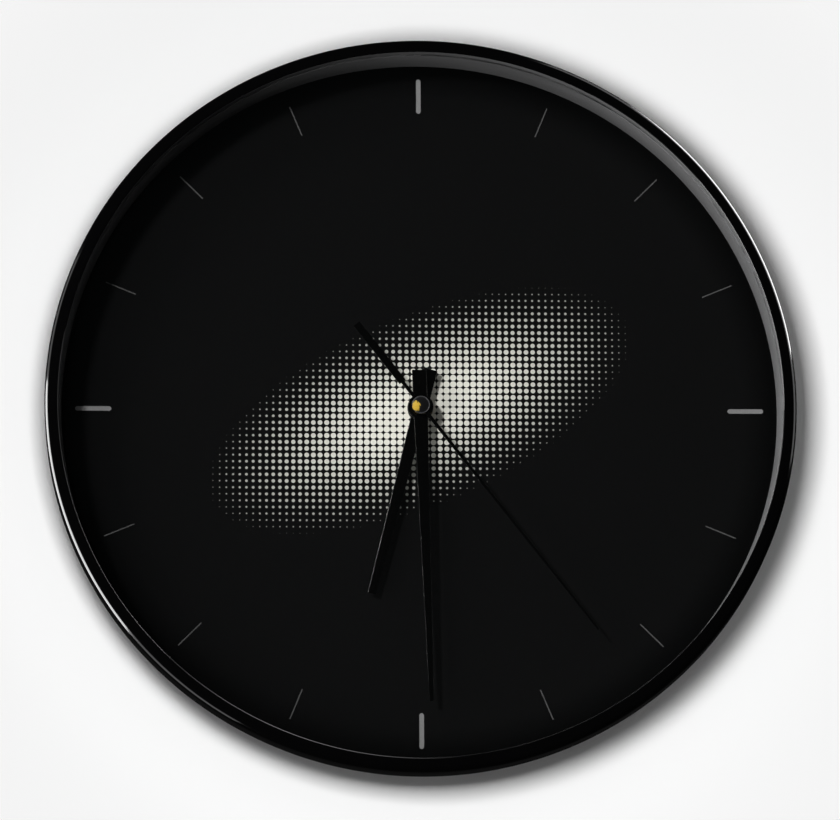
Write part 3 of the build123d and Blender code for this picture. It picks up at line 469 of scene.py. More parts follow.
def dial_finish(name, design):
    """Matt printed card with a patch of round dots that shrink and turn grey away from the hub, and painted
    shade darkening the ground towards the inner wall.
    """
    finish = Finish(name)
    split = finish.add("ShaderNodeSeparateXYZ", {"Vector": finish.place})
    across, up = split.outputs["X"], split.outputs["Z"]

    def lean(operation, first, second, tilt):
        """One of two coordinates after a turn by a tilt."""
        near = finish.math("MULTIPLY", first, cos(tilt))
        return finish.math(operation, near, finish.math("MULTIPLY", second, sin(tilt)))

    def turned(tilt):
        """Coordinates along and across a tilted direction."""
        return lean("ADD", across, up, tilt), lean("SUBTRACT", up, across, tilt)

    def off_row(place, offset):
        """Distance from the nearest row of dots, in pitches."""
        row = finish.math("ADD", finish.math("DIVIDE", place, design.dot_pitch), offset)
        return finish.math("SUBTRACT", finish.math("FRACT", row), 0.5)

    along, aside = turned(design.patch_tilt)
    length_share = finish.math("DIVIDE", along, design.patch_length)
    width_share = finish.math("DIVIDE", aside, design.patch_width)
    reach = finish.span(length_share, width_share)
    cover = finish.math("SQRT", finish.between(reach, 1.0, 0.0, 0.0, 1.0))
    dot_radius = finish.between(cover, design.dot_least, design.dot_most, 0.0, 1.0)
    rows, columns = turned(design.screen_tilt)
    screens = [finish.span(off_row(rows, offset), off_row(columns, offset)) for offset in (0.0, 0.5)]
    inside = finish.math("SUBTRACT", dot_radius, finish.math("MINIMUM", *screens))
    printed = finish.rise(inside, -design.dot_edge, design.dot_edge)
    dots = finish.blend(finish.rise(reach, design.grey_start, design.grey_end), design.cream, design.grey)
    ground = finish.blend(finish.noise(0.6 * MM, 4.0), shade(design.black, 0.85), shade(design.black, 1.15))
    # Painted shade: the ground is darkened towards the inner wall, where the wall's shadow falls on the
    # dial.
    edge = finish.rise(finish.reach((0.0, 0.0), (1.0, 1.0)), design.wall_shade_start, design.wall_shade_end)
    shaded_ground = finish.blend(edge, ground, shade(design.black, design.wall_shade_level))
    tone = finish.blend(printed, shaded_ground, dots)
    rough = finish.between(finish.noise(1.5 * MM, 3.0), 0.72, 0.86)
    tooth = finish.bump(finish.noise(0.15 * MM, 3.0), 0.008 * MM)
    return finish.surface(Base_Color=tone, Roughness=rough, Normal=tooth, Specular_IOR_Level=0.05)


def cap_finish(name, plating, brass, radius):
    """Dark polished cap with a painted highlight along its bead and a painted brass-coloured highlight on
    its left side.
    """
    finish = Finish(name)
    # Painted highlight: a ragged brass-coloured patch on the left of the cap, where the key lamp's
    # reflection falls.
    glint_centre = (-0.54 * radius, -0.2 * radius)
    glint_halves = (0.45 * radius, 0.56 * radius)
    reach = finish.reach(glint_centre, glint_halves)
    ragged = finish.math("ADD", reach, finish.between(finish.noise(0.9 * MM, 4.0), -0.22, 0.22))
    glint = finish.between(ragged, 1.0, 0.0, 0.9, 1.05)
    # Painted highlight: a pale ring along the rolled bead at the cap's edge.
    bead = finish.rise(finish.reach((0.0, 0.0), (radius, radius)), 0.84, 0.92)
    dark = finish.blend(finish.noise(0.4 * MM, 4.0), shade(plating, 0.7), shade(plating, 1.3))
    plate = finish.blend(bead, dark, shade(plating, 9.0))
    glint_tone = finish.blend(finish.noise(0.5 * MM, 3.0), shade(brass, 0.8), shade(brass, 1.15))
    rough = finish.between(glint, 0.3, 0.42, 0.0, 1.0)
    return finish.surface(Base_Color=finish.blend(glint, plate, glint_tone), Metallic=0.15, Roughness=rough)


def coil_finish(name, rgb):
    """Fine enamelled wire wound side by side along the bobbin."""
    finish = Finish(name)
    turns = finish.add(
        "ShaderNodeTexWave",
        {"Vector": finish.place, "Scale": 1 / (0.9 * MM), "Distortion": 0.4, "Detail": 1.0},
        bands_direction="X",
    ).outputs["Fac"]
    # Painted shade: the wire is darker in the grooves between turns, where the bump dips.
    tone = finish.blend(turns, shade(rgb, 0.45), shade(rgb, 1.1))
    return finish.surface(
        Base_Color=tone, Metallic=0.75, Roughness=0.38, Normal=finish.bump(turns, 0.05 * MM)
    )


def board_finish(name, mask, metal):
    """Solder mask with pale tracks under it."""
    finish = Finish(name)
    turn = {"Vector": finish.place, "Rotation": (radians(90), 0, 0)}
    flat = finish.add("ShaderNodeMapping", turn).outputs[0]
    sizes = {"Scale": 1.0, "Brick Width": 2.4 * MM, "Row Height": 1.5 * MM, "Mortar Size": 0.16 * MM}
    tracks = finish.add("ShaderNodeTexBrick", {"Vector": flat, **sizes}).outputs["Fac"]
    tone = finish.blend(tracks, mask, shade(metal, 0.35))
    return finish.surface(Base_Color=tone, Roughness=0.38, Normal=finish.bump(tracks, 0.02 * MM))


def jacket_finish(name, pale, dark, start, end):
    """Printed battery wrap: a pale sleeve with one dark end and faint lengthwise scuffs."""
    finish = Finish(name)
    split = finish.add("ShaderNodeSeparateXYZ", {"Vector": finish.place})
    share = finish.rise(split.outputs["X"], start, end)
    scuffs = finish.noise(1.1 * MM, 4.0, (0.12, 1.0, 1.0))
    sleeve = finish.blend(scuffs, shade(pale, 0.96), shade(pale, 1.03))
    tone = finish.blend(finish.rise(share, 0.7, 0.703), sleeve, dark)
    rough = finish.between(scuffs, 0.3, 0.36)
    return finish.surface(Base_Color=tone, Metallic=0.35, Roughness=rough)


def arc(centre, radius, start, end, steps):
    """Points of a section arc between two angles in degrees."""
    turns = [radians(start + (end - start) * n / steps) for n in range(steps + 1)]
    return [(centre[0] + radius * cos(t), centre[1] + radius * sin(t)) for t in turns]


def arc_through(first, middle, last, steps):
    """Points of a section arc through three points."""
    (ax, ay), (bx, by), (cx, cy) = first, middle, last
    area = 2 * (ax * (by - cy) + bx * (cy - ay) + cx * (ay - by))
    a, b, c = ax**2 + ay**2, bx**2 + by**2, cx**2 + cy**2
    x = (a * (by - cy) + b * (cy - ay) + c * (ay - by)) / area
    y = (a * (cx - bx) + b * (ax - cx) + c * (bx - ax)) / area
    start, mid, end = (atan2(py - y, px - x) for px, py in (first, middle, last))
    while mid - start > pi:
        mid -= 2 * pi
    while mid - start < -pi:
        mid += 2 * pi
    while end - mid > pi:
        end -= 2 * pi
    while end - mid < -pi:
        end += 2 * pi
    return arc((x, y), hypot(ax - x, ay - y), start * 180 / pi, end * 180 / pi, steps)


def lathe(section, closed=True, steps=TURN_STEPS):
    """Turns a section of (radius, height) points about the axis of the hands."""
    bm = bmesh.new()
    points = [bm.verts.new((radius, -height, 0.0)) for radius, height in section]
    ends = points[1:] + points[:1] if closed else points[1:]
    edges = [bm.edges.new(pair) for pair in zip(points, ends)]
    bmesh.ops.spin(
        bm, geom=points + edges, cent=(0, 0, 0), axis=(0, 1, 0), angle=2 * pi, steps=steps, use_merge=True
    )
    bmesh.ops.remove_doubles(bm, verts=bm.verts, dist=LATHE_MERGE)
    bmesh.ops.recalc_face_normals(bm, faces=bm.faces)
    return bm


def sharp_edges(bm, limit=SMOOTH_ANGLE):
    """Edges where two faces meet at more than the limit."""
    return [e for e in bm.edges if len(e.link_faces) == 2 and e.calc_face_angle(0.0) > limit]


def round_edges(bm, edges, radius, segments=2, clamp=True):
    """Rounds edges of a mesh."""
    bmesh.ops.bevel(
        bm, geom=edges, offset=radius, offset_type="OFFSET", affect="EDGES", segments=segments,
        profile=0.5, material=-1, clamp_overlap=clamp,
    )


def plate(loops, low, high):
    """A flat plate between two heights, from one outline and any holes given as (x, z) loops."""
    bm = bmesh.new()
    edges = []
    for loop in loops:
        points = [bm.verts.new((x, -low, z)) for x, z in loop]
        edges += [bm.edges.new(pair) for pair in zip(points, points[1:] + points[:1])]
    bmesh.ops.triangle_fill(bm, edges=edges, use_beauty=True, use_dissolve=False, normal=(0, 1, 0))
    raised = bmesh.ops.extrude_face_region(bm, geom=bm.faces[:], use_keep_orig=True)
    tops = [item for item in raised["geom"] if isinstance(item, bmesh.types.BMVert)]
    bmesh.ops.translate(bm, verts=tops, vec=(0, low - high, 0))
    bmesh.ops.recalc_face_normals(bm, faces=bm.faces)
    return bm


def spot(radius, turn):
    """The point (x, z) of a circle at an angle in degrees, clockwise from the top."""
    return radius * sin(radians(turn)), radius * cos(radians(turn))


def circle(radius, steps, start=0.0, end=360.0, close=True):
    """Points (x, z) of a circle or of a part of one, clockwise from the top."""
    count = steps if close else steps + 1
    return [spot(radius, start + (end - start) * n / steps) for n in range(count)]


def box_loop(half_width, half_height):
    """Corners (x, z) of a rectangle."""
    return [(half_width * x, half_height * z) for x, z in ((-1, -1), (1, -1), (1, 1), (-1, 1))]


def finish_piece(bm, name, body, slot, material, *replaced, even=False):
    """Turns a bmesh into a piece on a body that stands for CAD nodes, with flat faces shaded even."""
    mesh = bpy.data.meshes.new(name)
    bm.normal_update()
    leans = []
    for vert in bm.verts:
        leans.append(sum((face.normal * face.calc_area() for face in vert.link_faces), Vector()))
    bm.to_mesh(mesh)
    bm.free()
    mesh.shade_smooth()
    if even:
        mesh.normals_split_custom_set_from_vertices([lean.normalized() for lean in leans])
    else:
        mesh.set_sharp_from_angle(angle=SMOOTH_ANGLE)
    mesh.materials.append(material)
    piece = bpy.data.objects.new(name, mesh)
    bpy.context.scene.collection.objects.link(piece)
    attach(piece, body)
    if replaced:
        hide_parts(*replaced)
    return piece


def rounded_piece(node, name, body, slot, material, radius, segments=2):
    """Lets a merged copy of a CAD node with rounded edges and even shading stand for the node."""
    bm = bmesh.new()
    bm.from_mesh(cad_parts[node].data)
    bmesh.ops.remove_doubles(bm, verts=bm.verts, dist=COPY_MERGE)
    bmesh.ops.dissolve_limit(bm, angle_limit=FLAT_ANGLE, verts=bm.verts, edges=bm.edges)
    round_edges(bm, sharp_edges(bm), radius, segments, clamp=False)
    return finish_piece(bm, name, body, slot, material, node, even=True)


def raised_piece(loops, rear, rise, foot, places, name, body, slot, material):
    """Raises low flat shapes with rounded edges off a rear face, one at each place."""
    whole = bmesh.new()
    for place in places:
        bm = plate(loops, rear - rise, rear + foot)
        round_edges(bm, sharp_edges(bm, CORNER_ANGLE), rise / 3)
        bmesh.ops.translate(bm, verts=bm.verts, vec=place)
        mesh = bpy.data.meshes.new(name)
        bm.to_mesh(mesh)
        bm.free()
        whole.from_mesh(mesh)
        bpy.data.meshes.remove(mesh)
    finish_piece(whole, name, body, slot, material, even=True)


def dress(material, *nodes):
    """Gives CAD nodes that stay a finished material."""
    for node in nodes:
        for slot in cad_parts[node].material_slots:
            slot.material = material


class CLOCK_OT_bezel(bpy.types.Operator):
    """Turns the gloss-black front ring with its rounded edge and lip"""

    bl_idname = "clock.bezel"
    bl_label = "Front Ring"

    def execute(self, context):
        sizes = context.scene.clock_bezel
        look = context.scene.clock_finishes
        outer = radius_of("bezel")
        rear, crest = heights_of("bezel")
        lip_front = crest - sizes.lip_radius
        lip = outer - sizes.rim_width
        bore = radius_of("lens") + sizes.bore_gap
        slope = sizes.face_slope
        face_outer = outer - sizes.edge_radius * (1 - sin(slope))
        face_inner = lip + sizes.lip_radius * (1 + sin(slope))
        face_rise = (face_outer - face_inner) * tan(slope)
        edge = lip_front - face_rise - (sizes.edge_radius - sizes.lip_radius) * cos(slope)
        under_lip = heights_of("lens")[1]
        groove = (rear + heights_of("dial")[0]) / 2
        face_angle = 90 - slope * 180 / pi
        section = [
            (bore, rear),
            (bore + sizes.rear_wall, rear),
            (outer, edge - sizes.side_height),
            *arc((outer - sizes.edge_radius, edge), sizes.edge_radius, 0, face_angle, EDGE_STEPS),
            *arc((lip + sizes.lip_radius, lip_front), sizes.lip_radius, face_angle, 180, LIP_STEPS),
            (lip, under_lip),
            (bore, under_lip),
            *arc_through(
                (bore, groove + sizes.groove_half),
                (bore + sizes.groove_depth, groove),
                (bore, groove - sizes.groove_half),
                GROOVE_STEPS,
            ),
        ]
        ring = lathe(section)
        lip_inside = lip + 0.1 * sizes.lip_radius
        for face in ring.faces:
            spans = [hypot(vert.co.x, vert.co.z) for vert in face.verts]
            if max(spans) < lip_inside:
                face.material_index = 1
        gloss = gloss_finish("gloss_black", look.gloss_black, roughness=0.07)
        piece = finish_piece(ring, "front_ring", "case_body", "bezel_gloss", gloss, "bezel")
        piece.data.materials.append(satin_finish(look.wall_grey))
        return {"FINISHED"}


class CLOCK_OT_front_stack(bpy.types.Operator):
    """Turns the clear lens and the satin inner wall behind the lip"""

    bl_idname = "clock.front_stack"
    bl_label = "Lens and Inner Wall"

    def execute(self, context):
        sizes = context.scene.clock_front
        look = context.scene.clock_finishes
        outer = radius_of("lens")
        rear, front = heights_of("lens")
        lens = bmesh.new()
        turn = Matrix.Translation((0, -(rear + front) / 2, 0)) @ Matrix.Rotation(radians(90), 4, "X")
        bmesh.ops.create_cone(
            lens, cap_ends=True, segments=TURN_STEPS, radius1=outer, radius2=outer,
            depth=front - rear, matrix=turn,
        )
        round_edges(lens, sharp_edges(lens, CORNER_ANGLE), sizes.lens_edge, segments=3)
        finish_piece(lens, "clear_lens", "case_body", "lens_clear", glass_finish("clear_lens"), "lens")

        wall_rear, wall_front = heights_of("spacer_ring")
        sight = outer - sizes.sight_inset
        mouth = outer - sizes.mouth_inset
        section = [(sight, wall_rear), (outer, wall_rear), (outer, wall_front), (mouth, wall_front)]
        ring = lathe(section)
        round_edges(ring, sharp_edges(ring, CORNER_ANGLE), sizes.wall_edge)
        satin = satin_finish(look.wall_grey)
        finish_piece(ring, "inner_wall", "case_body", "spacer_satin", satin, "spacer_ring")
        return {"FINISHED"}


class CLOCK_OT_dial(bpy.types.Operator):
    """Finishes the printed dial and its sixteen marks"""

    bl_idname = "clock.dial"
    bl_label = "Dial"

    def execute(self, context):
        design = context.scene.clock_dial
        dress(dial_finish("dial_print", design), "dial")
        dress(ink_finish("mark_ink", design.mark_grey), "quarter_marks")
        dress(ink_finish("fine_mark_ink", design.fine_grey), "fine_marks")
        return {"FINISHED"}


class CLOCK_OT_hands(bpy.types.Operator):
    """Stamps the three black hands, turns the cap and finishes the brass fittings"""

    bl_idname = "clock.hands"
    bl_label = "Hands"

    def execute(self, context):
        sizes = context.scene.clock_hands
        look = context.scene.clock_finishes
        paint = moulded_finish(
            "hand_paint", look.hand_black, roughness=0.2, grain=0.5 * MM, depth=0.0008 * MM
        )
        half = sizes.width / 2

        def hand(node, reach, tail, tip, bore, clock_angle, body):
            """Stamps a tapered hand with a round hub and a square tail."""
            blade_half = half + (tip / 2 - half) * sizes.hub_radius / reach
            front_turn = asin(blade_half / sizes.hub_radius) * 180 / pi
            tail_turn = 180 - asin(half / sizes.hub_radius) * 180 / pi
            outline = [
                (tip / 2, reach),
                *circle(sizes.hub_radius, HUB_STEPS, front_turn, tail_turn, False),
                (half, -tail),
                (-half, -tail),
                *circle(sizes.hub_radius, HUB_STEPS, 360 - tail_turn, 360 - front_turn, False),
                (-tip / 2, reach),
            ]
            stamp(node, [outline, circle(bore, BORE_STEPS)], clock_angle, body, sizes.edge)

        def stamp(node, loops, clock_angle, body, edge):
            """Cuts a flat hand, rounds its edges and turns it to its rest angle."""
            bm = plate(loops, *heights_of(node))
            round_edges(bm, sharp_edges(bm, CORNER_ANGLE), edge, segments=3)
            turn = Matrix.Rotation(clock_angle, 3, "Y")
            bmesh.ops.rotate(bm, verts=bm.verts, cent=(0, 0, 0), matrix=turn)
            finish_piece(bm, node + "_blade", body, "hand_black", paint, node, even=True)

        hand(
            "hour_hand", sizes.hour_reach, sizes.hour_tail, sizes.hour_tip, sizes.hour_bore,
            sizes.hour_angle, "hour_hand_body",
        )
        hand(
            "minute_hand", sizes.minute_reach, sizes.minute_tail, sizes.minute_tip, sizes.minute_bore,
            sizes.minute_angle, "minute_hand_body",
        )
        stem = sizes.second_width / 2
        stem_turn = asin(stem / sizes.second_hub) * 180 / pi
        weight = sizes.weight_width / 2
        outline = [
            (sizes.second_tip / 2, sizes.second_reach),
            *circle(sizes.second_hub, SECOND_HUB_STEPS, stem_turn, 180 - stem_turn, False),
            (stem, -sizes.weight_start),
            (weight, -sizes.weight_start),
            (weight, -sizes.weight_end),
            (-weight, -sizes.weight_end),
            (-weight, -sizes.weight_start),
            (-stem, -sizes.weight_start),
            *circle(sizes.second_hub, SECOND_HUB_STEPS, 180 + stem_turn, 360 - stem_turn, False),
            (-sizes.second_tip / 2, sizes.second_reach),
        ]
        loops = [outline, circle(sizes.second_bore, SECOND_BORE_STEPS)]
        stamp("second_hand", loops, sizes.second_angle, "second_hand_body", sizes.second_edge)

        cap_radius = radius_of("second_hand_cap")
        cap_rear, cap_front = heights_of("second_hand_cap")
        cap_sizes = context.scene.clock_cap
        bead = cap_sizes.bead
        bead_turns = (cap_sizes.bead_start, cap_sizes.bead_end)
        dome_radius = cap_radius - cap_sizes.dome_inset * bead
        dome_start = cap_rear + cap_sizes.dome_rise
        dome = cap_front - dome_start
        sphere = (dome_radius**2 + dome**2) / (2 * dome)
        lean = asin(dome_radius / sphere) * 180 / pi
        section = [
            (0.0, cap_rear),
            (cap_radius - bead / 2, cap_rear),
            *arc((cap_radius - bead, dome_start), bead, *bead_turns, BEAD_STEPS),
            *arc((0.0, cap_front - sphere), sphere, 90 - lean, 90, DOME_STEPS),
        ]
        cap = lathe(section, closed=False, steps=CAP_STEPS)
        plated = cap_finish("cap_plating", look.cap_grey, look.brass, cap_radius)
        finish_piece(cap, "hand_cap", "second_hand_body", "brass", plated, "second_hand_cap")
        brass = metal_finish("turned_brass", look.brass, roughness=0.3, stretch=(1.0, 0.2, 1.0))
        dress(brass, "hour_hand_bush", "hand_nut", "second_hand_tube")
        return {"FINISHED"}


class CLOCK_OT_back(bpy.types.Operator):
    """Finishes the rear case, the movement housing, the knob and the battery"""

    bl_idname = "clock.back"
    bl_label = "Back"

    def execute(self, context):
        sizes = context.scene.clock_back
        look = context.scene.clock_finishes
        case_black = moulded_finish(
            "case_moulding", look.case_black, roughness=0.5, grain=0.45 * MM, depth=0.05 * MM
        )
        case = ("case_body", "case_black", case_black)
        rounded_piece("rear_case", "case_back", *case, sizes.case_edge)
        housing_black = moulded_finish(
            "movement_moulding", look.movement_black, roughness=0.45, grain=0.3 * MM, depth=0.03 * MM
        )
        housing = ("case_body", "movement_black", housing_black)
        rounded_piece("movement_front_shell", "movement_case", *housing, sizes.housing_edge)
        rounded_piece("movement_rear_cover", "movement_cover", *housing, sizes.housing_edge)
        knob_grey = moulded_finish(
            "knob_moulding", look.knob_grey, roughness=0.4, grain=0.3 * MM, depth=0.01 * MM
        )
        knob = ("setting_knob_body", "knob_grey", knob_grey)
        rounded_piece("setting_knob", "time_knob", *knob, sizes.knob_edge)
        low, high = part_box("battery")
        wrap = jacket_finish("cell_wrap", look.jacket, look.jacket_dark, low.x, high.x)
        cell = ("case_body", "battery_jacket", wrap)
        rounded_piece("battery", "dry_cell", *cell, sizes.cell_edge, segments=3)

        low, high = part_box("setting_knob")
        hub = Vector(((low.x + high.x) / 2, 0, (low.z + high.z) / 2))
        knob_radius = (high.x - low.x) / 2
        knob_rear = heights_of("setting_knob")[0]
        ring = [circle(share * knob_radius, RING_STEPS) for share in (sizes.ring_outer, sizes.ring_inner)]
        raised_piece(ring, knob_rear, sizes.ring_rise, sizes.foot, [hub], "knob_ring", *knob)

        rear = heights_of("movement_rear_cover")[0]
        gaps = (sizes.collar_outer, sizes.collar_inner)
        collar = [circle(knob_radius + gap, COLLAR_STEPS) for gap in gaps]
        raised_piece(collar, rear, sizes.sign_rise, sizes.foot, [hub], "knob_collar", *housing)
        inner = knob_radius + sizes.arrow_inner
        outer = knob_radius + sizes.arrow_outer
        arrow = [
            *circle(outer, ARROW_STEPS, sizes.arrow_start, sizes.arrow_neck, False),
            spot(outer + sizes.arrow_barb, sizes.arrow_neck),
            spot((inner + outer) / 2, sizes.arrow_tip),
            spot(inner - sizes.arrow_barb, sizes.arrow_neck),
            *circle(inner, ARROW_STEPS, sizes.arrow_neck, sizes.arrow_start, False),
        ]
        raised_piece([arrow], rear, sizes.sign_rise, sizes.foot, [hub], "knob_arrow", *housing)

        line = sizes.panel_line
        width, height = sizes.panel_width, sizes.panel_height
        panel = [box_loop(width, height), box_loop(width - line, height - line)]
        place = Vector((sizes.panel_across, 0, sizes.panel_up))
        raised_piece(panel, rear, sizes.panel_rise, sizes.foot, [place], "cover_panel", *housing)

        floor_rear = heights_of("dial")[0] - FLOOR_DEPTH
        pin_circle = circle(sizes.pin_circle * radius_of("rear_case"), PIN_COUNT)
        places = [Vector((x, 0, z)) for x, z in pin_circle]
        pin = [circle(sizes.pin_outer, PIN_STEPS), circle(sizes.pin_inner, PIN_STEPS)]
        raised_piece(pin, floor_rear, sizes.pin_rise, sizes.foot, places, "pin_marks", *case)
        nickel = metal_finish("nickel_strip", look.nickel, roughness=0.28, stretch=(1.0, 0.15, 1.0))
        dress(nickel, "battery_contact_positive", "battery_contact_negative")
        return {"FINISHED"}


class CLOCK_OT_works(bpy.types.Operator):
    """Finishes the gear train, the stepping motor and the circuit board inside the movement"""

    bl_idname = "clock.works"
    bl_label = "Works"

    def execute(self, context):
        look = context.scene.clock_finishes
        acetal = moulded_finish(
            "acetal_wheels", look.gear_white, roughness=0.42, grain=0.4 * MM, depth=0.006 * MM
        )
        wheels = ["second_wheel", "third_wheel", "centre_wheel", "minute_wheel", "hour_wheel"]
        dress(acetal, *wheels, "intermediate_wheel", "rotor_pinion")
        magnet = moulded_finish(
            "sintered_magnet", look.magnet, roughness=0.55, grain=0.2 * MM, depth=0.02 * MM
        )
        dress(magnet, "rotor_magnet")
        steel = metal_finish("rolled_steel", look.steel, roughness=0.32, stretch=(0.12, 1.0, 1.0))
        dress(steel, "stator", "coil_core", "quartz_crystal")
        dress(coil_finish("coil_wire", look.copper), "coil")
        dress(board_finish("solder_mask", look.board, look.copper), "circuit_board")
        resin = moulded_finish(
            "potting_resin", look.resin, roughness=0.25, grain=1.5 * MM, depth=0.03 * MM
        )
        dress(resin, "control_chip")
        return {"FINISHED"}


def stage_mesh(bm, name, material):
    """Links a backdrop mesh that is not part of the clock."""
    mesh = bpy.data.meshes.new(name)
    bm.to_mesh(mesh)
    bm.free()
    mesh.materials.append(material)
    thing = bpy.data.objects.new(name, mesh)
    bpy.context.scene.collection.objects.link(thing)
    return thing


def backdrop_mesh(bm, name, rgb):
    """Links a pale backdrop that only the camera and the glass see."""
    look = Finish(name)
    look.feed(look.output, {"Surface": look.glow(rgb)})
    thing = stage_mesh(bm, name, look.material)
    thing.visible_diffuse = False
    thing.visible_glossy = False
    thing.visible_shadow = False
    thing.visible_volume_scatter = False


def direction(azimuth, elevation):
    """Unit vector towards a place in front of the clock, by angles in radians."""
    flat = cos(elevation)
    return Vector((sin(azimuth) * flat, -cos(azimuth) * flat, sin(elevation)))


def lamp(name, middle, level=None, glow=None):
    """A soft rectangular lamp from the table, with its light on the dial or its own brightness."""
    azimuth, elevation, distance, width, height = LAMPS[name]
    data = bpy.data.lights.new(name, "AREA")
    data.shape = "RECTANGLE"
    data.size = width
    data.size_y = height
    towards = direction(radians(azimuth), radians(elevation))
    if glow is None:
        data.energy = level * (pi * distance) ** 2 / abs(towards.y)
    else:
        data.energy = glow * pi * width * height
    thing = bpy.data.objects.new(name, data)
    thing.location = middle + towards * distance
    facing = thing.location - middle - Vector(AIMS.get(name, (0, 0, 0)))
    thing.rotation_euler = facing.to_track_quat("Z", "Y").to_euler()
    bpy.context.scene.collection.objects.link(thing)
    return thing


def link_set(name, things, state):
    """A collection that lets a lamp light only some things, or everything else."""
    links = bpy.data.collections.new(name)
    for thing in things:
        links.objects.link(thing)
    for entry in links.collection_objects:
        entry.light_linking.link_state = state
    return links


def wall_backdrop(settings):
    """A wall seen from the front only, which lets rear lamps through and glows far from the clock."""
    look = Finish("stage_wall")
    look.surface(Base_Color=settings.wall, Roughness=0.9, Specular_IOR_Level=0.0)
    back = look.add("ShaderNodeNewGeometry").outputs["Backfacing"]
    shadow = look.add("ShaderNodeLightPath").outputs["Is Shadow Ray"]
    clear = look.add("ShaderNodeBsdfTransparent").outputs[0]
    see_through = look.math("MAXIMUM", back, shadow)
    clock_radius = radius_of("bezel")
    reach = look.reach((0, 0), (clock_radius, clock_radius))
    far = look.rise(reach, settings.glow_start, settings.glow_end)
    layers = {0: far, 1: look.shader.outputs[0], 2: look.glow(settings.backdrop)}
    front = look.add("ShaderNodeMixShader", layers).outputs[0]
    whole = look.add("ShaderNodeMixShader", {0: see_through, 1: front, 2: clear})
    look.feed(look.output, {"Surface": whole.outputs[0]})
    bm = bmesh.new()
    upright = Matrix.Translation((0, settings.wall_gap, 0)) @ Matrix.Rotation(radians(90), 4, "X")
    bmesh.ops.create_grid(bm, x_segments=1, y_segments=1, size=settings.wall_half, matrix=upright)
    wall = stage_mesh(bm, "stage_wall", look.material)
    wall.visible_glossy = False
    wall.visible_diffuse = False
    return wall


def surroundings(settings):
    """The pale floor and shell round the clock, and the faint light from everywhere."""
    floor = bmesh.new()
    below = Matrix.Translation((0, 0, -settings.floor_drop))
    bmesh.ops.create_grid(floor, x_segments=1, y_segments=1, size=settings.floor_half, matrix=below)
    backdrop_mesh(floor, "stage_floor", settings.floor)
    shell = bmesh.new()
    bmesh.ops.create_icosphere(shell, subdivisions=4, radius=settings.shell_radius)
    backdrop_mesh(shell, "stage_shell", settings.backdrop)
    world = bpy.data.worlds.new("studio")
    world.use_nodes = True
    level = settings.world_level
    world.node_tree.nodes["Background"].inputs["Color"].default_value = (level, level, level, 1.0)
    bpy.context.scene.world = world


def lamps(settings, wall, middle):
    """Soft lamps for the clock, cards for its gloss, and lamps for the wall alone."""
    ring = bpy.data.objects["front_ring"]
    wall_only = link_set("lit_wall", [wall], "INCLUDE")
    all_but_wall = link_set("lit_clock", [wall], "EXCLUDE")
    all_but_ring = link_set("lit_back", [wall, ring], "EXCLUDE")
    soft_lamps = [
        lamp("key", middle, settings.key_level),
        lamp("fill", middle, settings.fill_level),
        lamp("low_left", middle, settings.low_level),
    ]
    cards = [
        lamp("left_card", middle, glow=settings.card_glow),
        lamp("right_card", middle, glow=settings.card_glow),
        lamp("left_soft_card", middle, glow=settings.soft_glow),
        lamp("right_soft_card", middle, glow=settings.soft_glow),
    ]
    rear_lamps = [
        lamp("rear_left", middle, settings.rear_left_level),
        lamp("rear_right", middle, settings.rear_right_level),
    ]
    hand_card = lamp("hand_card", middle, glow=settings.hand_glow)
    lip_card = lamp("lip_card", middle, glow=settings.lip_glow)
    lip_card.data.spread = settings.lip_spread
    lip_card.visible_camera = False
    lip_card.light_linking.receiver_collection = link_set("lit_ring", [ring], "INCLUDE")
    for thing in soft_lamps:
        thing.visible_glossy = False
    for thing in [*cards, hand_card, lip_card]:
        thing.visible_diffuse = False
    for thing in soft_lamps + cards:
        thing.light_linking.receiver_collection = all_but_wall
    for thing in [*rear_lamps, hand_card]:
        thing.light_linking.receiver_collection = all_but_ring
    wall_lamps = [
        lamp("wall_key", middle, settings.wall_key_level),
        lamp("wall_fill", middle, settings.wall_fill_level),
    ]
    for thing in wall_lamps:
        thing.light_linking.receiver_collection = wall_only


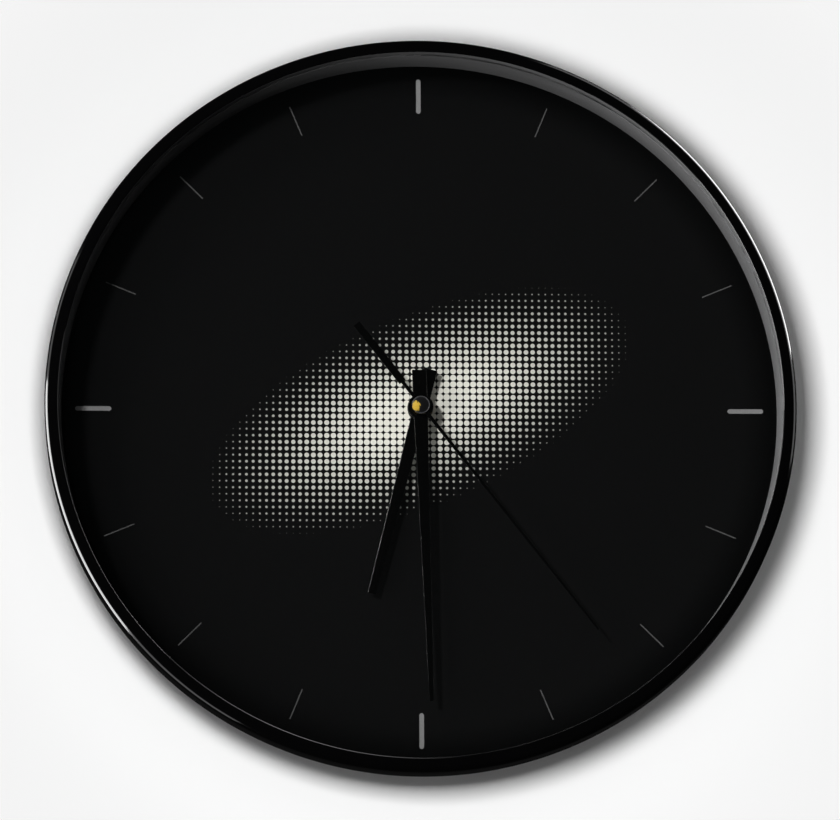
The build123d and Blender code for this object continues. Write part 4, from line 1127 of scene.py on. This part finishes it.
class CLOCK_OT_stage(bpy.types.Operator):
    """Sets up the pale wall and floor, the lamps and the camera of the photograph"""

    bl_idname = "clock.stage"
    bl_label = "Stage"

    def execute(self, context):
        scene = context.scene
        settings = scene.clock_stage
        middle = Vector((0.0, -heights_of("dial")[1], 0.0))
        wall = wall_backdrop(settings)
        surroundings(settings)
        lamps(settings, wall, middle)

        camera = bpy.data.objects.new("camera", bpy.data.cameras.new("camera"))
        camera.data.lens = settings.focal
        camera.data.sensor_width = SENSOR_WIDTH
        camera.data.clip_end = VIEW_END
        towards = direction(settings.azimuth, settings.elevation)
        camera.location = middle + towards * settings.distance
        sight = towards.to_track_quat("Z", "Y") @ Quaternion((0, 0, 1), settings.roll)
        camera.rotation_euler = sight.to_euler()
        scene.collection.objects.link(camera)
        scene.camera = camera
        scene.view_settings.view_transform = "Standard"
        return {"FINISHED"}


class CLOCK_PT_panel(bpy.types.Panel):
    """Lists the steps that build the clock"""

    bl_idname = "CLOCK_PT_panel"
    bl_label = "Wall Clock"
    bl_space_type = "VIEW_3D"
    bl_region_type = "UI"
    bl_category = "Wall Clock"

    def draw(self, context):
        for operator in OPERATORS:
            self.layout.operator(operator.bl_idname)


GROUPS = {
    "clock_bezel": BezelSizes,
    "clock_front": FrontSizes,
    "clock_hands": HandSizes,
    "clock_cap": CapSizes,
    "clock_back": BackSizes,
    "clock_dial": DialDesign,
    "clock_finishes": Finishes,
    "clock_stage": StageSettings,
}
OPERATORS = (
    CLOCK_OT_bezel,
    CLOCK_OT_front_stack,
    CLOCK_OT_dial,
    CLOCK_OT_hands,
    CLOCK_OT_back,
    CLOCK_OT_works,
    CLOCK_OT_stage,
)


def register():
    """Registers the classes and hangs the property groups on the scene."""
    for group in GROUPS.values():
        bpy.utils.register_class(group)
    for name, group in GROUPS.items():
        setattr(bpy.types.Scene, name, PointerProperty(type=group))
    for operator in OPERATORS:
        bpy.utils.register_class(operator)
    bpy.utils.register_class(CLOCK_PT_panel)


def unregister():
    """Takes everything off again."""
    bpy.utils.unregister_class(CLOCK_PT_panel)
    for operator in reversed(OPERATORS):
        bpy.utils.unregister_class(operator)
    for name, group in GROUPS.items():
        delattr(bpy.types.Scene, name)
        bpy.utils.unregister_class(group)


def main():
    """Builds every piece in order."""
    register()
    bpy.ops.clock.bezel()
    bpy.ops.clock.front_stack()
    bpy.ops.clock.dial()
    bpy.ops.clock.hands()
    bpy.ops.clock.back()
    bpy.ops.clock.works()
    bpy.ops.clock.stage()


if __name__ == "__main__":
    main()
